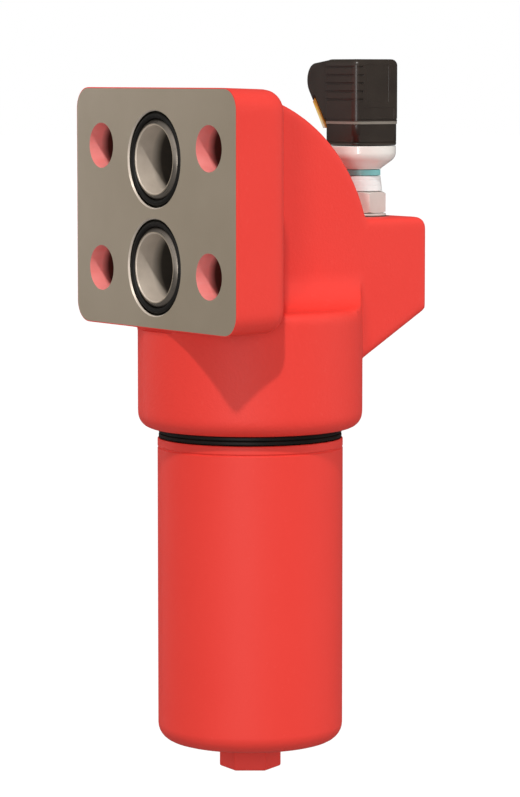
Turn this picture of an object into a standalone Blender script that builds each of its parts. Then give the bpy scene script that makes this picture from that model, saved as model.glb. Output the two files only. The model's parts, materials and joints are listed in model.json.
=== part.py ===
"""Hydraulic pressure filter for flange mounting: cast head, screwed-in bowl with a pleated element, and an
electrical clogging indicator with its connector plug.

Metres, +Z up. The origin is the middle between the two ports, on the machined mounting face, which looks
along -Y. The bowl hangs below the head on a vertical axis behind the face.
"""

from math import acos, asin, copysign, cos, pi, sin, sqrt

import bmesh
import bpy
from mathutils import Matrix, Vector

# Gap between pieces that touch
GAP = 0.0003

# Mounting flange
FLANGE_WIDTH = 0.149
FLANGE_HEIGHT = 0.121
FLANGE_DEPTH = 0.0325
FLANGE_RISE = 0.0025  # its middle above the ports' middle
FLANGE_CORNER = 0.011
FLANGE_FRONT_ROUND = 0.0016
FLANGE_REAR_ROUND = 0.009
FLANGE_DRAFT = 0.035  # how much each side leans in towards the rear
BOLT_PITCH_X = 0.100
BOLT_PITCH_Z = 0.0625
BOLT_RISE = 0.002  # the bolts' middle above the ports' middle
BOLT_HOLE_RADIUS = 0.0115
SPOT_FACE_RADIUS = 0.0165
SPOT_FACE_DEPTH = 0.001

# Ports and their seals
PORT_PITCH = 0.054
PORT_RADIUS = 0.017
PORT_CHAMFER = 0.001
PORT_LAND = 0.0031  # bare ring between a bore and its seal groove
PORT_SEAL_CORD = 0.0035
PORT_SEAL_PROUD = 0.0002
PORT_WALL = 0.0053  # between the lower port's end and the outlet bore
DROP_BORE_RADIUS = 0.010
DROP_BORE_INSET = 0.008  # its axis in front of the lower port's end

# Cast body behind the flange
SKIRT_LIP = 0.010  # the skirt's wall outside the bowl's side
SKIRT_SETBACK = 0.0005  # the skirt behind the mounting face
BACK_WIDTH = 0.054
BACK_ARC_START = 0.027  # the arc's top behind the mounting face
BACK_ARC_CLEARANCE = 0.0017  # between the arc's foot and the indicator's washer
BACK_ARC_STEP = 0.0017  # the arc's top below the flange's top
BACK_ROUND = 0.004
BOSS_TOP = -0.0041
BOSS_OVERHANG = 0.0935  # its rear face behind the bowl's axis
BOSS_HEIGHT = 0.0477
BOSS_CORNER = 0.0055
GUSSET_ANGLE = 31  # degrees, under the boss
SKIRT_TOP = -0.049
SKIRT_BOTTOM = -0.1106
SKIRT_TOP_ROUND = 0.005
SKIRT_BOTTOM_ROUND = 0.008
SHOULDER_FILLET = 0.018

# Chamber in the head
CHAMBER_STEP = 0.004  # the chamber inside the neck's bore
CHAMBER_TOP = -0.060
OUTLET_BORE_RADIUS = 0.0147

# Bowl
BOWL_RADIUS = 0.0475
BOWL_WALL = 0.0095
BOWL_LENGTH = 0.1567
BOWL_FLOOR = 0.012
BOWL_BOTTOM_ROUND = 0.009
BOWL_GAP = 0.005  # between the skirt and the bowl's shoulder
BOWL_GROOVE_DROP = 0.0047
BOWL_GROOVE_DEPTH = 0.0007
BOWL_GROOVE_WIDTH = 0.0012
NECK_STEP = 0.0025  # the neck inside the bowl's side
NECK_HEIGHT = 0.044
NECK_CHAMFER = 0.001
NECK_SEAL_DROP = 0.005
NECK_SEAL_CORD = 0.0036
BACKUP_RING_HEIGHT = 0.0015
BOWL_HEX_ACROSS = 0.0275
BOWL_HEX_HEIGHT = 0.0147
BOWL_HEX_CHAMFER = 0.0012
BOWL_HEX_TURN = 25.8  # degrees
DUST_RING_LIP = 0.0006

# Element and its spigot
SPIGOT_RADIUS = 0.0140
SPIGOT_BORE = 0.0105
SPIGOT_FLANGE_RADIUS = 0.0175
SPIGOT_FLANGE_HEIGHT = 0.004
SPIGOT_PLUG_HEIGHT = 0.012
SPIGOT_LENGTH = 0.018
SPIGOT_SEAL_CORD = 0.0020
ELEMENT_CLEARANCE = 0.003  # between the element and the bowl's wall
SUMP_HEIGHT = 0.006
CAP_SHEET = 0.0010
CAP_PLATE = 0.0025
CAP_RIM = 0.008
COLLAR_WALL = 0.0020
TOP_COLLAR_HEIGHT = 0.014
CORE_WALL = 0.0014
CORE_SLOT_WIDTH = 0.005
CORE_SLOT_LENGTH = 0.030
CORE_SLOT_ROWS = 4
CORE_SLOTS_ROUND = 6
PLEATS = 40
PLEAT_FOLD = 0.0034  # radial thickness of a fold
PLEAT_TIP = 0.16  # width of a fold's tip, as a share of the pitch

# Bypass valve
VALVE_HOLE_RADIUS = 0.008
POPPET_RADIUS = 0.0110
POPPET_THICKNESS = 0.0025
POPPET_STEM_RADIUS = 0.003
POPPET_LIFT = 0.006
VALVE_SPRING_WIRE = 0.0016
VALVE_SPRING_RADIUS = 0.0070
VALVE_SPRING_TURNS = 5
VALVE_SPRING_RESERVE = 0.006  # between its turns when the poppet is fully open
RETAINER_THICKNESS = 0.002
RETAINER_HUB_RADIUS = 0.0055
RETAINER_HUB_HEIGHT = 0.007
RETAINER_WINDOW_RADIUS = 0.003
RETAINER_WINDOWS = 4

# Clogging indicator, from the top of the boss upwards
INDICATOR_INSET = 0.0237  # its axis in front of the boss's rear face
INDICATOR_STEM_RADIUS = 0.010
INDICATOR_STEM_LENGTH = 0.0185
INDICATOR_HOLE_FLOOR = 0.0015
INDICATOR_WASHER_RADIUS = 0.0130
INDICATOR_WASHER_HEIGHT = 0.0012
INDICATOR_HEX_ACROSS = 0.0225
INDICATOR_HEX_TURN = 14.7  # degrees
INDICATOR_HEX_HEIGHT = 0.0110
INDICATOR_HEX_CHAMFER = 0.0010
INDICATOR_NECK_RADIUS = 0.008
WHITE_BAND_FOOT_RADIUS = 0.0110
WHITE_BAND_HEIGHT = 0.0078
BAND_RADIUS = 0.0100
TEAL_BAND_HEIGHT = 0.0030
LENS_RADIUS = 0.0180
LENS_CONE_HEIGHT = 0.0059
LENS_HEIGHT = 0.0120
LENS_SOCKET_DEPTH = 0.002
SENSING_BORE_RADIUS = 0.0025
PISTON_RADIUS = 0.0047
PISTON_HEIGHT = 0.008
PISTON_TRAVEL = 0.0025
PISTON_SEAT_RADIUS = 0.003
PISTON_SEAT_HEIGHT = 0.0025
PISTON_SPRING_WIRE = 0.0009
PISTON_SPRING_RADIUS = 0.0036
PISTON_SPRING_TURNS = 5
PISTON_SPRING_RESERVE = 0.005  # between its turns when the piston is fully up

# Connector socket and plug
SOCKET_SIDE = 0.0280
SOCKET_HEIGHT = 0.0110
PLUG_SIDE = 0.0286
PLUG_HEIGHT = 0.0320
PLUG_CORNER = 0.0036
PLUG_TOP_ROUND = 0.0022
GASKET_SIDE = 0.0289
GASKET_HEIGHT = 0.0008
PIN_WIDTH = 0.0063
PIN_THICKNESS = 0.0008
PIN_HEIGHT = 0.012
PIN_OFFSET = 0.0090
PIN_SINK = 0.002
GRIP_GROOVES = 5
GRIP_GROOVE_PITCH = 0.0042
GRIP_GROOVE_WIDTH = 0.0012
GRIP_GROOVE_DEPTH = 0.0006
GRIP_TOP = 0.0040
GRIP_WRAP = 0.0055
PANEL_WIDTH = 0.0120
PANEL_HEIGHT = 0.0175
PANEL_DROP = 0.0045
PANEL_DEPTH = 0.0004
SLOT_PANEL_WIDTH = 0.0215
SLOT_PANEL_HEIGHT = 0.0055
SLOT_PANEL_DROP = 0.0250
SCREW_HEAD_RADIUS = 0.0034
SCREW_HEAD_HEIGHT = 0.0026
SCREW_RECESS = 0.0030
SCREW_SHANK_RADIUS = 0.0015
SCREW_GRIP = 0.007
SCREW_SLOT = 0.0008
HOOD_WIDTH = 0.0215
HOOD_REACH = 0.0347  # its nose from the plug's middle
HOOD_NOSE_DROP = 0.0098
HOOD_NOSE_RADIUS = 0.0046
HOOD_FOOT = 0.0222  # the outer slope's foot from the plug's middle
HOOD_ROUND = 0.0016
HOOD_TOP_SLOPE = 18  # degrees
STRIP_THICKNESS = 0.0040
STRIP_LENGTH = 0.0165
STRIP_WIDTH = 0.0190
GLAND_RADIUS = 0.0072
GLAND_LENGTH = 0.0042
GLAND_BORE = 0.0050
GLAND_SEAL_BORE = 0.0035
GLAND_RECESS = 0.0015
GLAND_FACETS = 12

# Worked out from the values above
SKIRT_RADIUS = BOWL_RADIUS + SKIRT_LIP
BOWL_AXIS = SKIRT_RADIUS + SKIRT_SETBACK  # the bowl's axis behind the mounting face
NECK_RADIUS = BOWL_RADIUS - NECK_STEP
CHAMBER_RADIUS = NECK_RADIUS - CHAMBER_STEP
PORT_LOWER_DEPTH = BOWL_AXIS - OUTLET_BORE_RADIUS - PORT_WALL
DROP_BORE_DEPTH = PORT_LOWER_DEPTH - DROP_BORE_INSET
BOSS_REACH = BOWL_AXIS + BOSS_OVERHANG
INDICATOR_Y = BOSS_REACH - INDICATOR_INSET
FLANGE_TOP = FLANGE_RISE + FLANGE_HEIGHT / 2
BACK_ARC_TOP = FLANGE_TOP - BACK_ARC_STEP
BACK_ARC_RUN = INDICATOR_Y - INDICATOR_WASHER_RADIUS - BACK_ARC_CLEARANCE - BACK_ARC_START
BACK_ARC_FALL = BACK_ARC_TOP - BOSS_TOP
BACK_ARC_RADIUS = (BACK_ARC_RUN**2 + BACK_ARC_FALL**2) / (2 * BACK_ARC_FALL)
BACK_ARC_Z = BACK_ARC_TOP - BACK_ARC_RADIUS
BOWL_SHOULDER = SKIRT_BOTTOM - BOWL_GAP
BOWL_BOTTOM = BOWL_SHOULDER - BOWL_LENGTH
BOWL_INNER = BOWL_RADIUS - BOWL_WALL
ELEMENT_RADIUS = BOWL_INNER - ELEMENT_CLEARANCE
BOWL_INSIDE = BOWL_BOTTOM + BOWL_FLOOR
NECK_TOP = BOWL_SHOULDER + NECK_HEIGHT
PORT_GROOVE_INNER = PORT_RADIUS + PORT_LAND
PORT_GROOVE_OUTER = PORT_GROOVE_INNER + PORT_SEAL_CORD + 2 * GAP
PORT_GROOVE_DEPTH = PORT_SEAL_CORD + GAP - PORT_SEAL_PROUD
SPIGOT_TOP = CHAMBER_TOP - GAP
ELEMENT_TOP = SPIGOT_TOP - SPIGOT_FLANGE_HEIGHT - GAP
ELEMENT_BOTTOM = BOWL_INSIDE + SUMP_HEIGHT
COLLAR_INNER = SPIGOT_RADIUS + GAP
COLLAR_OUTER = COLLAR_INNER + COLLAR_WALL
CORE_INNER = COLLAR_OUTER + GAP
CORE_OUTER = CORE_INNER + CORE_WALL
CORE_TOP = ELEMENT_TOP - CAP_PLATE - GAP
CORE_BOTTOM = ELEMENT_BOTTOM + CAP_PLATE + GAP
POPPET_BOTTOM = ELEMENT_BOTTOM + CAP_PLATE + GAP
POPPET_TOP = POPPET_BOTTOM + POPPET_THICKNESS
VALVE_SPRING_FOOT = POPPET_TOP + GAP
VALVE_SPRING_LENGTH = VALVE_SPRING_TURNS * VALVE_SPRING_WIRE + POPPET_LIFT + VALVE_SPRING_RESERVE
RETAINER_FOOT = VALVE_SPRING_FOOT + VALVE_SPRING_LENGTH + GAP
WASHER_FOOT = BOSS_TOP + GAP
HEX_FOOT = WASHER_FOOT + INDICATOR_WASHER_HEIGHT + GAP
HEX_TOP = HEX_FOOT + INDICATOR_HEX_HEIGHT
WHITE_FOOT = HEX_TOP + GAP
TEAL_FOOT = WHITE_FOOT + WHITE_BAND_HEIGHT + GAP
LENS_FOOT = TEAL_FOOT + TEAL_BAND_HEIGHT + GAP
LENS_TOP = LENS_FOOT + LENS_HEIGHT
SOCKET_FOOT = LENS_TOP + GAP
SOCKET_TOP = SOCKET_FOOT + SOCKET_HEIGHT
GASKET_FOOT = SOCKET_TOP + GAP
PLUG_FOOT = GASKET_FOOT + GASKET_HEIGHT + GAP
PLUG_TOP = PLUG_FOOT + PLUG_HEIGHT
STEM_BOTTOM = BOSS_TOP - INDICATOR_STEM_LENGTH
PISTON_BOTTOM = STEM_BOTTOM + PISTON_SEAT_HEIGHT + GAP
PISTON_TOP = PISTON_BOTTOM + PISTON_HEIGHT
PISTON_SPRING_FOOT = PISTON_TOP + GAP
PISTON_SPRING_LENGTH = PISTON_SPRING_TURNS * PISTON_SPRING_WIRE + PISTON_TRAVEL + PISTON_SPRING_RESERVE
BORE_TOP = PISTON_SPRING_FOOT + PISTON_SPRING_LENGTH + GAP

OBJECT_NAME = "hydraulic_pressure_filter"
BIG_STEPS = 44
MEDIUM_STEPS = 24
SMALL_STEPS = 16
SPRING_STEPS = 8
MERGE = 0.000002


def clear_scene():
    for obj in list(bpy.data.objects):
        bpy.data.objects.remove(obj)
    for name in (OBJECT_NAME, "cutters"):
        group = bpy.data.collections.new(name)
        bpy.context.scene.collection.children.link(group)


def finish_of(name, colour, roughness, metallic=0.0):
    material = bpy.data.materials.new(name)
    material.use_nodes = True
    shader = material.node_tree.nodes["Principled BSDF"]
    shader.inputs["Base Color"].default_value = (*colour, 1)
    shader.inputs["Roughness"].default_value = roughness
    shader.inputs["Metallic"].default_value = metallic
    material.diffuse_color = (*colour, 1)
    return material


def linked(obj, material=None):
    """Puts an object among the parts, or among the cutters if it has no material."""
    for group in list(obj.users_collection):
        group.objects.unlink(obj)
    if material:
        bpy.data.collections[OBJECT_NAME].objects.link(obj)
        obj.data.materials.clear()
        obj.data.materials.append(material)
    else:
        bpy.data.collections["cutters"].objects.link(obj)
        obj.hide_render = True
        obj.display_type = "WIRE"
    return obj


def from_bmesh(name, bm, material=None, place=(0, 0, 0)):
    mesh = bpy.data.meshes.new(name)
    bm.to_mesh(mesh)
    bm.free()
    mesh.shade_smooth()
    mesh.set_sharp_from_angle(angle=0.6)
    obj = bpy.data.objects.new(name, mesh)
    obj.location = place
    return linked(obj, material)


def arc(centre, radius, start, end, steps):
    """Points of an arc, from one angle to another in radians."""
    angles = [start + (end - start) * i / steps for i in range(steps + 1)]
    return [(centre[0] + radius * cos(a), centre[1] + radius * sin(a)) for a in angles]


def turned(name, profile, material=None, place=(0, 0, 0), steps=MEDIUM_STEPS, ring=False, turn=(0, 0, 0)):
    """A turned piece. The profile is radius and height, down the outside; a ring's profile is a closed loop."""
    bm = bmesh.new()
    verts = [bm.verts.new((r, 0, z)) for r, z in profile]
    for first, second in zip(verts, verts[1:]):
        bm.edges.new((first, second))
    if ring:
        bm.edges.new((verts[-1], verts[0]))
    obj = from_bmesh(name, bm, material, place)
    obj.rotation_euler = turn
    screw = obj.modifiers.new("turn", "SCREW")
    screw.steps = steps
    screw.render_steps = steps
    screw.use_merge_vertices = True
    screw.merge_threshold = MERGE
    screw.use_smooth_shade = True
    return obj


def box(name, size, place, material=None, corner=0, rims=(), draft=0):
    """A box with rounded upright edges; rims holds (height sign, rounding) for its top or bottom edges.

    A draft makes its sides lean inwards from the top down.
    """
    bm = bmesh.new()
    bmesh.ops.create_cube(bm, size=1)
    bmesh.ops.scale(bm, vec=size, verts=bm.verts)
    if corner:
        upright = [e for e in bm.edges if abs((e.verts[0].co - e.verts[1].co).z) > size[2] / 2]
        bmesh.ops.bevel(bm, geom=upright, offset=corner, segments=4, affect="EDGES", profile=0.5, material=-1)
    for side, rounding in rims:
        level = side * size[2] / 2
        rim = [e for e in bm.edges if all(abs(v.co.z - level) < MERGE for v in e.verts)]
        bmesh.ops.bevel(bm, geom=rim, offset=rounding, segments=3, affect="EDGES", profile=0.5, material=-1)
    for vert in bm.verts:
        inset = draft * (size[2] / 2 - vert.co.z)
        vert.co.x -= copysign(inset, vert.co.x)
        vert.co.y -= copysign(inset, vert.co.y)
    return from_bmesh(name, bm, material, place)


def extruded(name, outlines, thickness, material=None, place=(0, 0, 0), turn=(0, 0, 0), rounding=0):
    """A piece cut from plate to closed outlines, its rims rounded."""
    curve = bpy.data.curves.new(name, "CURVE")
    curve.dimensions = "2D"
    curve.fill_mode = "BOTH"
    curve.extrude = thickness / 2
    for outline in outlines:
        spline = curve.splines.new("POLY")
        spline.points.add(len(outline) - 1)
        for point, (x, y) in zip(spline.points, outline):
            point.co = (x, y, 0, 1)
        spline.use_cyclic_u = True
    plate = bpy.data.objects.new(name + "_outline", curve)
    plate.rotation_euler = turn
    plate.location = place
    bpy.context.scene.collection.objects.link(plate)
    bpy.context.view_layer.update()
    mesh = bpy.data.meshes.new_from_object(plate.evaluated_get(bpy.context.evaluated_depsgraph_get()))
    bm = bmesh.new()
    bm.from_mesh(mesh)
    bmesh.ops.remove_doubles(bm, verts=bm.verts, dist=MERGE)
    bmesh.ops.dissolve_limit(bm, angle_limit=0.001, verts=bm.verts, edges=bm.edges)
    if rounding:
        rims = [e for e in bm.edges if abs(e.verts[0].co.z - e.verts[1].co.z) < MERGE]
        bmesh.ops.bevel(bm, geom=rims, offset=rounding, segments=3, affect="EDGES", profile=0.5, material=-1)
    bm.to_mesh(mesh)
    bm.free()
    obj = bpy.data.objects.new(name, mesh)
    obj.matrix_world = plate.matrix_world
    bpy.data.objects.remove(plate)
    return linked(obj, material)


def round_bar(name, radius, start, end, steps=SMALL_STEPS):
    """A cutter of a drilled hole from one point to another."""
    start, end = Vector(start), Vector(end)
    bm = bmesh.new()
    bmesh.ops.create_cone(
        bm, cap_ends=True, segments=steps, radius1=radius, radius2=radius, depth=(end - start).length
    )
    obj = from_bmesh(name, bm)
    turn = (end - start).to_track_quat("Z", "Y").to_matrix().to_4x4()
    obj.matrix_world = Matrix.Translation((start + end) / 2) @ turn
    return obj


def hexagon(name, across, height, chamfer, place, turn=0, upper=False):
    bm = bmesh.new()
    radius = across / sqrt(3)
    bmesh.ops.create_cone(bm, cap_ends=True, segments=6, radius1=radius, radius2=radius, depth=height)
    level = height / 2
    rim = [e for e in bm.edges if all(abs(v.co.z + (-level if upper else level)) < MERGE for v in e.verts)]
    bmesh.ops.bevel(bm, geom=rim, offset=chamfer, segments=1, affect="EDGES", profile=0.5, material=-1)
    bmesh.ops.rotate(bm, verts=bm.verts, matrix=Matrix.Rotation(turn * pi / 180, 3, "Z"))
    return from_bmesh(name, bm, place=place)


def combine(obj, other, operation):
    step = obj.modifiers.new(other.name, "BOOLEAN")
    step.operation = operation
    step.object = other
    return obj


def cut(obj, *cutters):
    for cutter in cutters:
        combine(obj, cutter, "DIFFERENCE")
    return obj


def join(obj, *others):
    for other in others:
        combine(obj, other, "UNION")
    return obj


def seal_ring(name, inner, cord, place, material, turn=(0, 0, 0), steps=MEDIUM_STEPS):
    """An O-ring, from its inner radius and its cord's diameter."""
    bpy.ops.mesh.primitive_torus_add(
        major_radius=inner + cord / 2,
        minor_radius=cord / 2,
        major_segments=steps,
        minor_segments=8,
        location=place,
        rotation=turn,
    )
    ring = bpy.context.object
    ring.name = name
    ring.data.shade_smooth()
    return linked(ring, material)


def tube(name, inner, outer, bottom, top, material, place, steps=MEDIUM_STEPS):
    profile = [(inner, top), (outer, top), (outer, bottom), (inner, bottom)]
    return turned(name, profile, material, place, steps, ring=True)


def spring(name, radius, wire, turns, foot, length, material, place):
    """A compression spring, standing on its foot."""
    curve = bpy.data.curves.new(name, "CURVE")
    curve.dimensions = "3D"
    curve.bevel_depth = wire / 2
    curve.bevel_resolution = 1
    curve.use_fill_caps = True
    count = turns * SPRING_STEPS
    spline = curve.splines.new("POLY")
    spline.points.add(count)
    for i, point in enumerate(spline.points):
        angle = 2 * pi * turns * i / count
        height = foot + wire / 2 + (length - wire) * i / count
        point.co = (radius * cos(angle), radius * sin(angle), height, 1)
    obj = bpy.data.objects.new(name, curve)
    obj.location = place
    return linked(obj, material)


def flange_block(paint):
    flange = box(
        "head_casting",
        (FLANGE_WIDTH, FLANGE_HEIGHT, FLANGE_DEPTH),
        (0, FLANGE_DEPTH / 2, FLANGE_RISE),
        paint,
        corner=FLANGE_CORNER,
        rims=((1, FLANGE_FRONT_ROUND), (-1, FLANGE_REAR_ROUND)),
        draft=FLANGE_DRAFT,
    )
    flange.rotation_euler = (pi / 2, 0, 0)
    return flange


def curved_back():
    """The body behind the flange: a quarter arc down to the boss, and the boss's slanted underside."""
    front = FLANGE_DEPTH / 2
    arc_start = acos((front - BACK_ARC_START) / BACK_ARC_RADIUS)
    arc_end = asin((BOSS_TOP - BACK_ARC_Z) / BACK_ARC_RADIUS)
    outline = arc((BACK_ARC_START, BACK_ARC_Z), BACK_ARC_RADIUS, arc_start, arc_end, 18)
    outline += arc((BOSS_REACH - BOSS_CORNER, BOSS_TOP - BOSS_CORNER), BOSS_CORNER, pi / 2, 0, 3)
    rear_foot = BOSS_TOP - BOSS_HEIGHT
    skirt_side = BOWL_AXIS + sqrt(SKIRT_RADIUS**2 - (BACK_WIDTH / 2) ** 2) - BACK_ROUND
    slope_foot = rear_foot - (BOSS_REACH - skirt_side) * sin(GUSSET_ANGLE * pi / 180) / cos(GUSSET_ANGLE * pi / 180)
    outline += [(BOSS_REACH, rear_foot), (skirt_side, slope_foot), (front, slope_foot)]
    turn = (pi / 2, 0, pi / 2)
    return extruded("curved_back", [outline], BACK_WIDTH, turn=turn, rounding=BACK_ROUND)


def skirt():
    top = arc((SKIRT_RADIUS - SKIRT_TOP_ROUND, SKIRT_TOP - SKIRT_TOP_ROUND), SKIRT_TOP_ROUND, pi / 2, 0, 4)
    centre = (SKIRT_RADIUS - SKIRT_BOTTOM_ROUND, SKIRT_BOTTOM + SKIRT_BOTTOM_ROUND)
    bottom = arc(centre, SKIRT_BOTTOM_ROUND, 0, -pi / 2, 5)
    profile = [(0, SKIRT_TOP), *top, *bottom, (0, SKIRT_BOTTOM)]
    return turned("skirt", profile, place=(0, BOWL_AXIS, 0), steps=BIG_STEPS)


def shoulder_fillet():
    """The hollow blend between the skirt's top and both sides of the curved back, kept inside the skirt."""
    side = BACK_WIDTH / 2 + SHOULDER_FILLET - GAP
    level = SKIRT_TOP + SHOULDER_FILLET - GAP
    right = arc((side, level), SHOULDER_FILLET, -pi / 2, -pi, 6)
    left = [(-x, z) for x, z in reversed(right)]
    base = SKIRT_TOP - SKIRT_TOP_ROUND
    outline = [*right, *left, (-side, base), (side, base)]
    front = FLANGE_DEPTH / 2
    rear = BOWL_AXIS + SKIRT_RADIUS
    blend = extruded("shoulder_fillet", [outline], rear - front, place=(0, (front + rear) / 2, 0), turn=(pi / 2, 0, 0))
    round_end = round_bar(
        "fillet_end", SKIRT_RADIUS - GAP, (0, BOWL_AXIS, base - GAP), (0, BOWL_AXIS, level + GAP), BIG_STEPS
    )
    return combine(blend, round_end, "INTERSECT")


def port_cutter(name, height, depth):
    over = PORT_CHAMFER
    profile = [(0, over), (PORT_RADIUS + 2 * over, over), (PORT_RADIUS, -over), (PORT_RADIUS, -depth), (0, -depth)]
    return turned(name, profile, place=(0, 0, height), turn=(pi / 2, 0, 0))


def port_groove_cutter(name, height):
    over = PORT_CHAMFER
    profile = [
        (PORT_GROOVE_INNER, over),
        (PORT_GROOVE_OUTER, over),
        (PORT_GROOVE_OUTER, -PORT_GROOVE_DEPTH),
        (PORT_GROOVE_INNER, -PORT_GROOVE_DEPTH),
    ]
    return turned(name, profile, place=(0, 0, height), turn=(pi / 2, 0, 0), ring=True)


def bolt_places():
    return [
        (side * BOLT_PITCH_X / 2, BOLT_RISE + level * BOLT_PITCH_Z / 2) for side in (-1, 1) for level in (-1, 1)
    ]


def bolt_hole_cutters():
    cutters = []
    for i, (x, z) in enumerate(bolt_places(), 1):
        over = SPOT_FACE_DEPTH
        rear = FLANGE_DEPTH - SPOT_FACE_DEPTH
        cutters.append(round_bar(f"bolt_hole_{i}", BOLT_HOLE_RADIUS, (x, -over, z), (x, rear + over / 2, z)))
        cutters.append(
            round_bar(f"spot_face_{i}", SPOT_FACE_RADIUS, (x, rear, z), (x, FLANGE_DEPTH + over, z), MEDIUM_STEPS)
        )
    return cutters


def bowl_socket_cutter():
    """The stepped bore that takes the bowl's neck, with the chamber above it."""
    wall = NECK_RADIUS + GAP
    over = NECK_CHAMFER
    profile = [
        (0, CHAMBER_TOP),
        (CHAMBER_RADIUS, CHAMBER_TOP),
        (CHAMBER_RADIUS, NECK_TOP + GAP),
        (wall, NECK_TOP + GAP),
        (wall, SKIRT_BOTTOM + over),
        (wall + 2 * over, SKIRT_BOTTOM - over),
        (0, SKIRT_BOTTOM - over),
    ]
    return turned("bowl_socket", profile, place=(0, BOWL_AXIS, 0), steps=BIG_STEPS)


def passage_cutters():
    """The drilled ways from the ports to the chamber and the element, and to the indicator's hole."""
    axis = BOWL_AXIS
    upper = PORT_PITCH / 2
    hole_floor = STEM_BOTTOM - INDICATOR_HOLE_FLOOR
    low_tap = (0, axis + CHAMBER_RADIUS - SENSING_BORE_RADIUS, CHAMBER_TOP - SENSING_BORE_RADIUS)
    clean_level = hole_floor + SENSING_BORE_RADIUS + GAP
    return [
        round_bar("outlet_bore", OUTLET_BORE_RADIUS, (0, axis, CHAMBER_TOP - GAP), (0, axis, upper), MEDIUM_STEPS),
        round_bar("drop_bore", DROP_BORE_RADIUS, (0, DROP_BORE_DEPTH, CHAMBER_TOP - GAP), (0, DROP_BORE_DEPTH, -upper)),
        round_bar(
            "indicator_hole",
            INDICATOR_STEM_RADIUS + GAP,
            (0, INDICATOR_Y, hole_floor),
            (0, INDICATOR_Y, BOSS_TOP + SPOT_FACE_DEPTH),
            MEDIUM_STEPS,
        ),
        round_bar("dirty_tap", SENSING_BORE_RADIUS, low_tap, (0, INDICATOR_Y, hole_floor + GAP)),
        round_bar("clean_tap", SENSING_BORE_RADIUS, (0, axis, clean_level), (0, INDICATOR_Y, clean_level)),
    ]


def head_casting(paint):
    head = join(flange_block(paint), curved_back(), skirt(), shoulder_fillet())
    upper = PORT_PITCH / 2
    cut(
        head,
        bowl_socket_cutter(),
        port_cutter("upper_port", upper, BOWL_AXIS + OUTLET_BORE_RADIUS),
        port_cutter("lower_port", -upper, PORT_LOWER_DEPTH),
        port_groove_cutter("upper_groove", upper),
        port_groove_cutter("lower_groove", -upper),
        *bolt_hole_cutters(),
        *passage_cutters(),
    )
    return head


def port_orings(rubber):
    seat = PORT_GROOVE_DEPTH - GAP - PORT_SEAL_CORD / 2
    for name, height in (("port_oring_upper", PORT_PITCH / 2), ("port_oring_lower", -PORT_PITCH / 2)):
        seal_ring(name, PORT_GROOVE_INNER + GAP, PORT_SEAL_CORD, (0, seat, height), rubber, (pi / 2, 0, 0))


def neck_groove():
    """Top, bottom and floor radius of the seal groove round the bowl's neck."""
    top = NECK_TOP - NECK_SEAL_DROP
    bottom = top - NECK_SEAL_CORD - BACKUP_RING_HEIGHT - 3 * GAP
    return top, bottom, NECK_RADIUS - NECK_SEAL_CORD - GAP


def bowl(paint):
    groove_top, groove_bottom, groove_floor = neck_groove()
    line = BOWL_SHOULDER - BOWL_GROOVE_DROP
    half = BOWL_GROOVE_WIDTH / 2
    edge = NECK_CHAMFER / 2
    inner_round = BOWL_BOTTOM_ROUND - GAP
    inner_corner = arc((BOWL_INNER - inner_round, BOWL_INSIDE + inner_round), inner_round, -pi / 2, 0, 4)
    outer_centre = (BOWL_RADIUS - BOWL_BOTTOM_ROUND, BOWL_BOTTOM + BOWL_BOTTOM_ROUND)
    profile = [
        (0, BOWL_INSIDE),
        *inner_corner,
        (BOWL_INNER, NECK_TOP),
        (NECK_RADIUS - NECK_CHAMFER, NECK_TOP),
        (NECK_RADIUS, NECK_TOP - NECK_CHAMFER),
        (NECK_RADIUS, groove_top),
        (groove_floor, groove_top),
        (groove_floor, groove_bottom),
        (NECK_RADIUS, groove_bottom),
        (NECK_RADIUS, BOWL_SHOULDER),
        (BOWL_RADIUS - edge, BOWL_SHOULDER),
        (BOWL_RADIUS, BOWL_SHOULDER - edge),
        (BOWL_RADIUS, line + half),
        (BOWL_RADIUS - BOWL_GROOVE_DEPTH, line + half / 2),
        (BOWL_RADIUS - BOWL_GROOVE_DEPTH, line - half / 2),
        (BOWL_RADIUS, line - half),
        *arc(outer_centre, BOWL_BOTTOM_ROUND, 0, -pi / 2, 5),
        (0, BOWL_BOTTOM),
    ]
    shell = turned("bowl", profile, paint, (0, BOWL_AXIS, 0), steps=BIG_STEPS)
    height = BOWL_HEX_HEIGHT + BOWL_FLOOR / 2
    middle = BOWL_BOTTOM - BOWL_HEX_HEIGHT + height / 2
    stub = hexagon("bowl_hexagon", BOWL_HEX_ACROSS, height, BOWL_HEX_CHAMFER, (0, BOWL_AXIS, middle), BOWL_HEX_TURN)
    return join(shell, stub)


def dust_ring(rubber):
    inner = NECK_RADIUS + GAP
    outer = BOWL_RADIUS - DUST_RING_LIP
    top = SKIRT_BOTTOM - GAP
    bottom = BOWL_SHOULDER + GAP
    middle = (top + bottom) / 2
    lip = DUST_RING_LIP
    profile = [
        (inner, top),
        (outer - lip, top),
        (outer, top - lip),
        (outer, middle + lip),
        (outer - lip, middle),
        (outer, middle - lip),
        (outer, bottom + lip),
        (outer - lip, bottom),
        (inner, bottom),
    ]
    return turned("bowl_dust_ring", profile, rubber, (0, BOWL_AXIS, 0), steps=BIG_STEPS, ring=True)


def neck_seals(rubber, plastic):
    groove_top, groove_bottom, groove_floor = neck_groove()
    middle = groove_bottom + GAP + NECK_SEAL_CORD / 2
    seal_ring("bowl_oring", groove_floor + GAP, NECK_SEAL_CORD, (0, BOWL_AXIS, middle), rubber, steps=BIG_STEPS)
    foot = groove_top - GAP - BACKUP_RING_HEIGHT
    place = (0, BOWL_AXIS, 0)
    tube("bowl_backup_ring", groove_floor + GAP, NECK_RADIUS, foot, groove_top - GAP, plastic, place, BIG_STEPS)


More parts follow.
